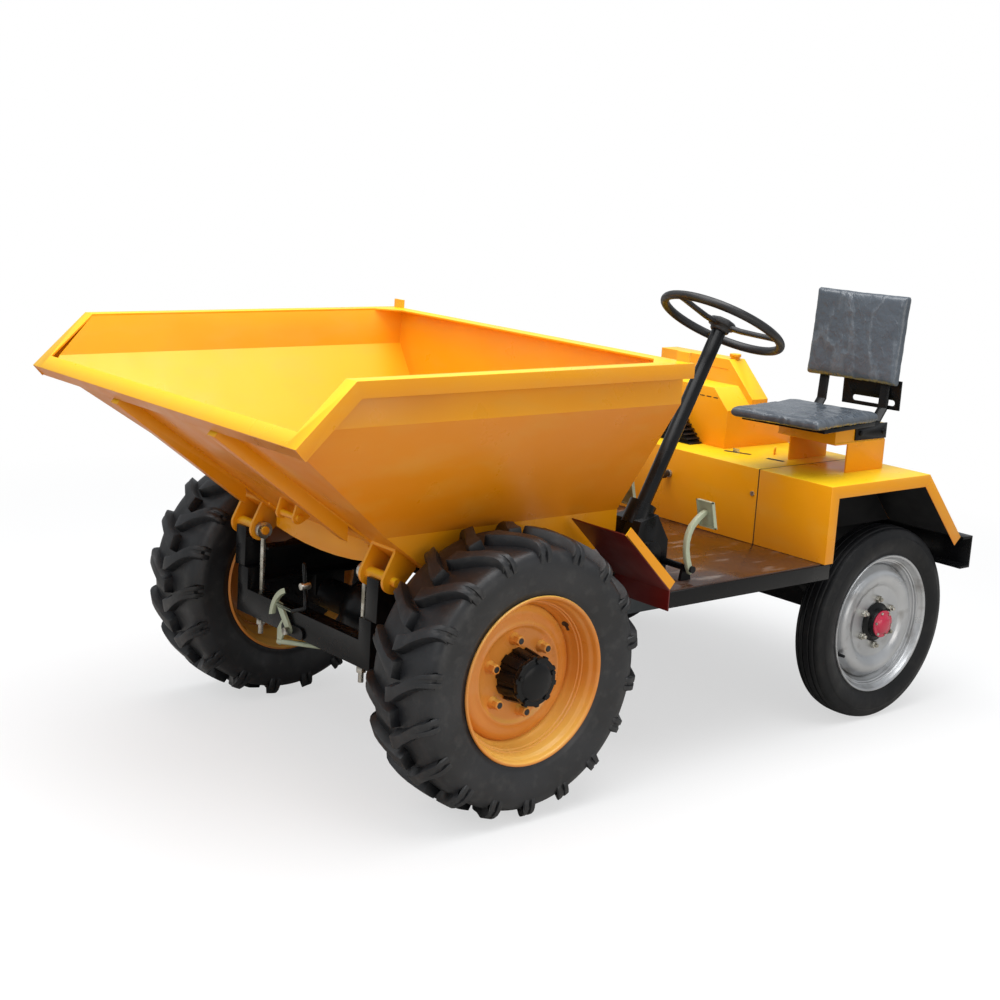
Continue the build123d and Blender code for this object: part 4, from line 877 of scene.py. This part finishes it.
# ---------------------------------------------------------------------------------------------
# Skip latch and eye rods: grey-green levers on a pivot bolt at the beam, and two plated rods
# whose eyes sit on the skip's pivot pins and are nutted under the beam.
# ---------------------------------------------------------------------------------------------
rounded("skip_latch", 0.0012, sage, "grey_green_paint")
PLATE_X, BOLT_Y, BOLT_Z = 0.839, -0.033, 0.362        # front of the oval plate, middle of the pivot bolt
ROD_Y, PIN_Z, PIN_R = -0.044, 0.503, 0.0095           # inner side of the upright rod, and the pin through it
COAT = 0.0005
skin("skip_latch", "latch_plate", lambda c, n: (abs(c.x - PLATE_X) < 0.0004 and n.x > 0.9)
     or (abs(n.x) < 0.5 and c.x < PLATE_X + 0.0005 and c.y > -0.060 and abs(c.z - BOLT_Z) < 0.019),
     black, "black_paint", COAT)
skin("skip_latch", "latch_bolt",
     lambda c, n: c.x > 0.8465 and math.hypot(c.y - BOLT_Y, c.z - BOLT_Z) < 0.0104, bright, "zinc", COAT)
skin("skip_latch", "latch_rod", lambda c, n: c.y > ROD_Y and c.z > 0.405 and abs(c.z - PIN_Z) > PIN_R,
     black, "black_paint", COAT)
skin("skip_latch", "latch_pin", lambda c, n: c.y > ROD_Y and abs(c.z - PIN_Z) <= PIN_R,
     bright, "zinc", COAT)
for node in ("eye_rod_left", "eye_rod_right"):
    rounded(node, 0.0015, bright, "zinc")

# ---------------------------------------------------------------------------------------------
# Studio: pale floor, soft lamps and the camera.
# ---------------------------------------------------------------------------------------------
CAMERA_PLACE = (3.2524, 3.6781, 1.7045)
CAMERA_YAW, CAMERA_PITCH, CAMERA_ROLL = -130.21, -12.1, 3.46

lens = bpy.data.cameras.new("camera")
lens.lens = 59.96
lens.sensor_width = 36
camera = bpy.data.objects.new("camera", lens)
bpy.context.scene.collection.objects.link(camera)
yaw, pitch = math.radians(CAMERA_YAW), math.radians(CAMERA_PITCH)
ahead = Vector((math.cos(yaw) * math.cos(pitch), math.sin(yaw) * math.cos(pitch), math.sin(pitch)))
camera.rotation_mode = "QUATERNION"
camera.rotation_quaternion = (ahead.to_track_quat("-Z", "Y")
                              @ Quaternion((0, 0, 1), math.radians(CAMERA_ROLL)))
camera.location = CAMERA_PLACE
bpy.context.scene.camera = camera

world = bpy.data.worlds.new("studio")
world.use_nodes = True
bpy.context.scene.world = world
tree = world.node_tree
back = tree.nodes["Background"]
rays = tree.nodes.new("ShaderNodeLightPath")
white = tree.nodes.new("ShaderNodeBackground")
white.inputs["Strength"].default_value = 1.0
white.inputs["Color"].default_value = (1, 1, 1, 1)
back.inputs["Color"].default_value = (0.93, 0.96, 1.0, 1)
back.inputs["Strength"].default_value = 0.56
swap = tree.nodes.new("ShaderNodeMixShader")
tree.links.new(rays.outputs["Is Camera Ray"], swap.inputs["Fac"])
tree.links.new(back.outputs["Background"], swap.inputs[1])
tree.links.new(white.outputs["Background"], swap.inputs[2])
tree.links.new(swap.outputs["Shader"], tree.nodes["World Output"].inputs["Surface"])


def softbox(name, place, aim, size, power, colour=(1, 1, 1)):
    """Wide soft lamp that looks at a place."""
    lamp = bpy.data.lights.new(name, "AREA")
    lamp.shape = "RECTANGLE"
    lamp.size, lamp.size_y = size
    lamp.energy = power
    lamp.color = colour
    holder = bpy.data.objects.new(name, lamp)
    bpy.context.scene.collection.objects.link(holder)
    holder.location = place
    holder.rotation_euler = (Vector(aim) - Vector(place)).to_track_quat("-Z", "Y").to_euler()


softbox("overhead", (0.4, 0.4, 4.8), (0, 0, 0.6), (4.5, 4.5), 250)
softbox("front", (3.6, 1.0, 3.2), (0.3, 0.1, 0.7), (2.5, 2.5), 36)
softbox("near_side", (0.5, 5.0, 1.5), (0, 0.3, 0.7), (4.0, 2.0), 44, (1.0, 0.94, 0.86))

deselect()
bpy.ops.mesh.primitive_plane_add(size=60, location=(0, 0, 0))
ground = bpy.context.object
ground.name = "ground"
sheet, tree, shader = finish("pale_floor", 0.9)
glow = tree.nodes.new("ShaderNodeEmission")
glow.inputs["Color"].default_value = (1, 1, 1, 1)
# the camera sees the floor fade to white with distance, and near the machine keeps its shadow
rays = tree.nodes.new("ShaderNodeLightPath")
tree.links.new(blended(tree, rays.outputs["Is Camera Ray"], (0.52, 0.50, 0.47, 1), (0.9, 0.9, 0.9, 1)),
               shader.inputs["Base Color"])
place = tree.nodes.new("ShaderNodeTexCoord")
away = tree.nodes.new("ShaderNodeVectorMath")
away.operation = "LENGTH"
fade = tree.nodes.new("ShaderNodeMapRange")
for socket, value in (("From Min", 1.6), ("From Max", 4.2), ("To Min", 0.60), ("To Max", 1.0)):
    fade.inputs[socket].default_value = value
share = tree.nodes.new("ShaderNodeMath")
share.operation = "MULTIPLY"
tree.links.new(place.outputs["Object"], away.inputs[0])
tree.links.new(away.outputs["Value"], fade.inputs["Value"])
tree.links.new(fade.outputs["Result"], share.inputs[1])
swap = tree.nodes.new("ShaderNodeMixShader")
tree.links.new(rays.outputs["Is Camera Ray"], share.inputs[0])
tree.links.new(share.outputs["Value"], swap.inputs["Fac"])
tree.links.new(shader.outputs["BSDF"], swap.inputs[1])
tree.links.new(glow.outputs["Emission"], swap.inputs[2])
tree.links.new(swap.outputs["Shader"], tree.nodes["Material Output"].inputs["Surface"])
ground.data.materials.append(sheet)

bpy.context.scene.view_settings.view_transform = "Standard"
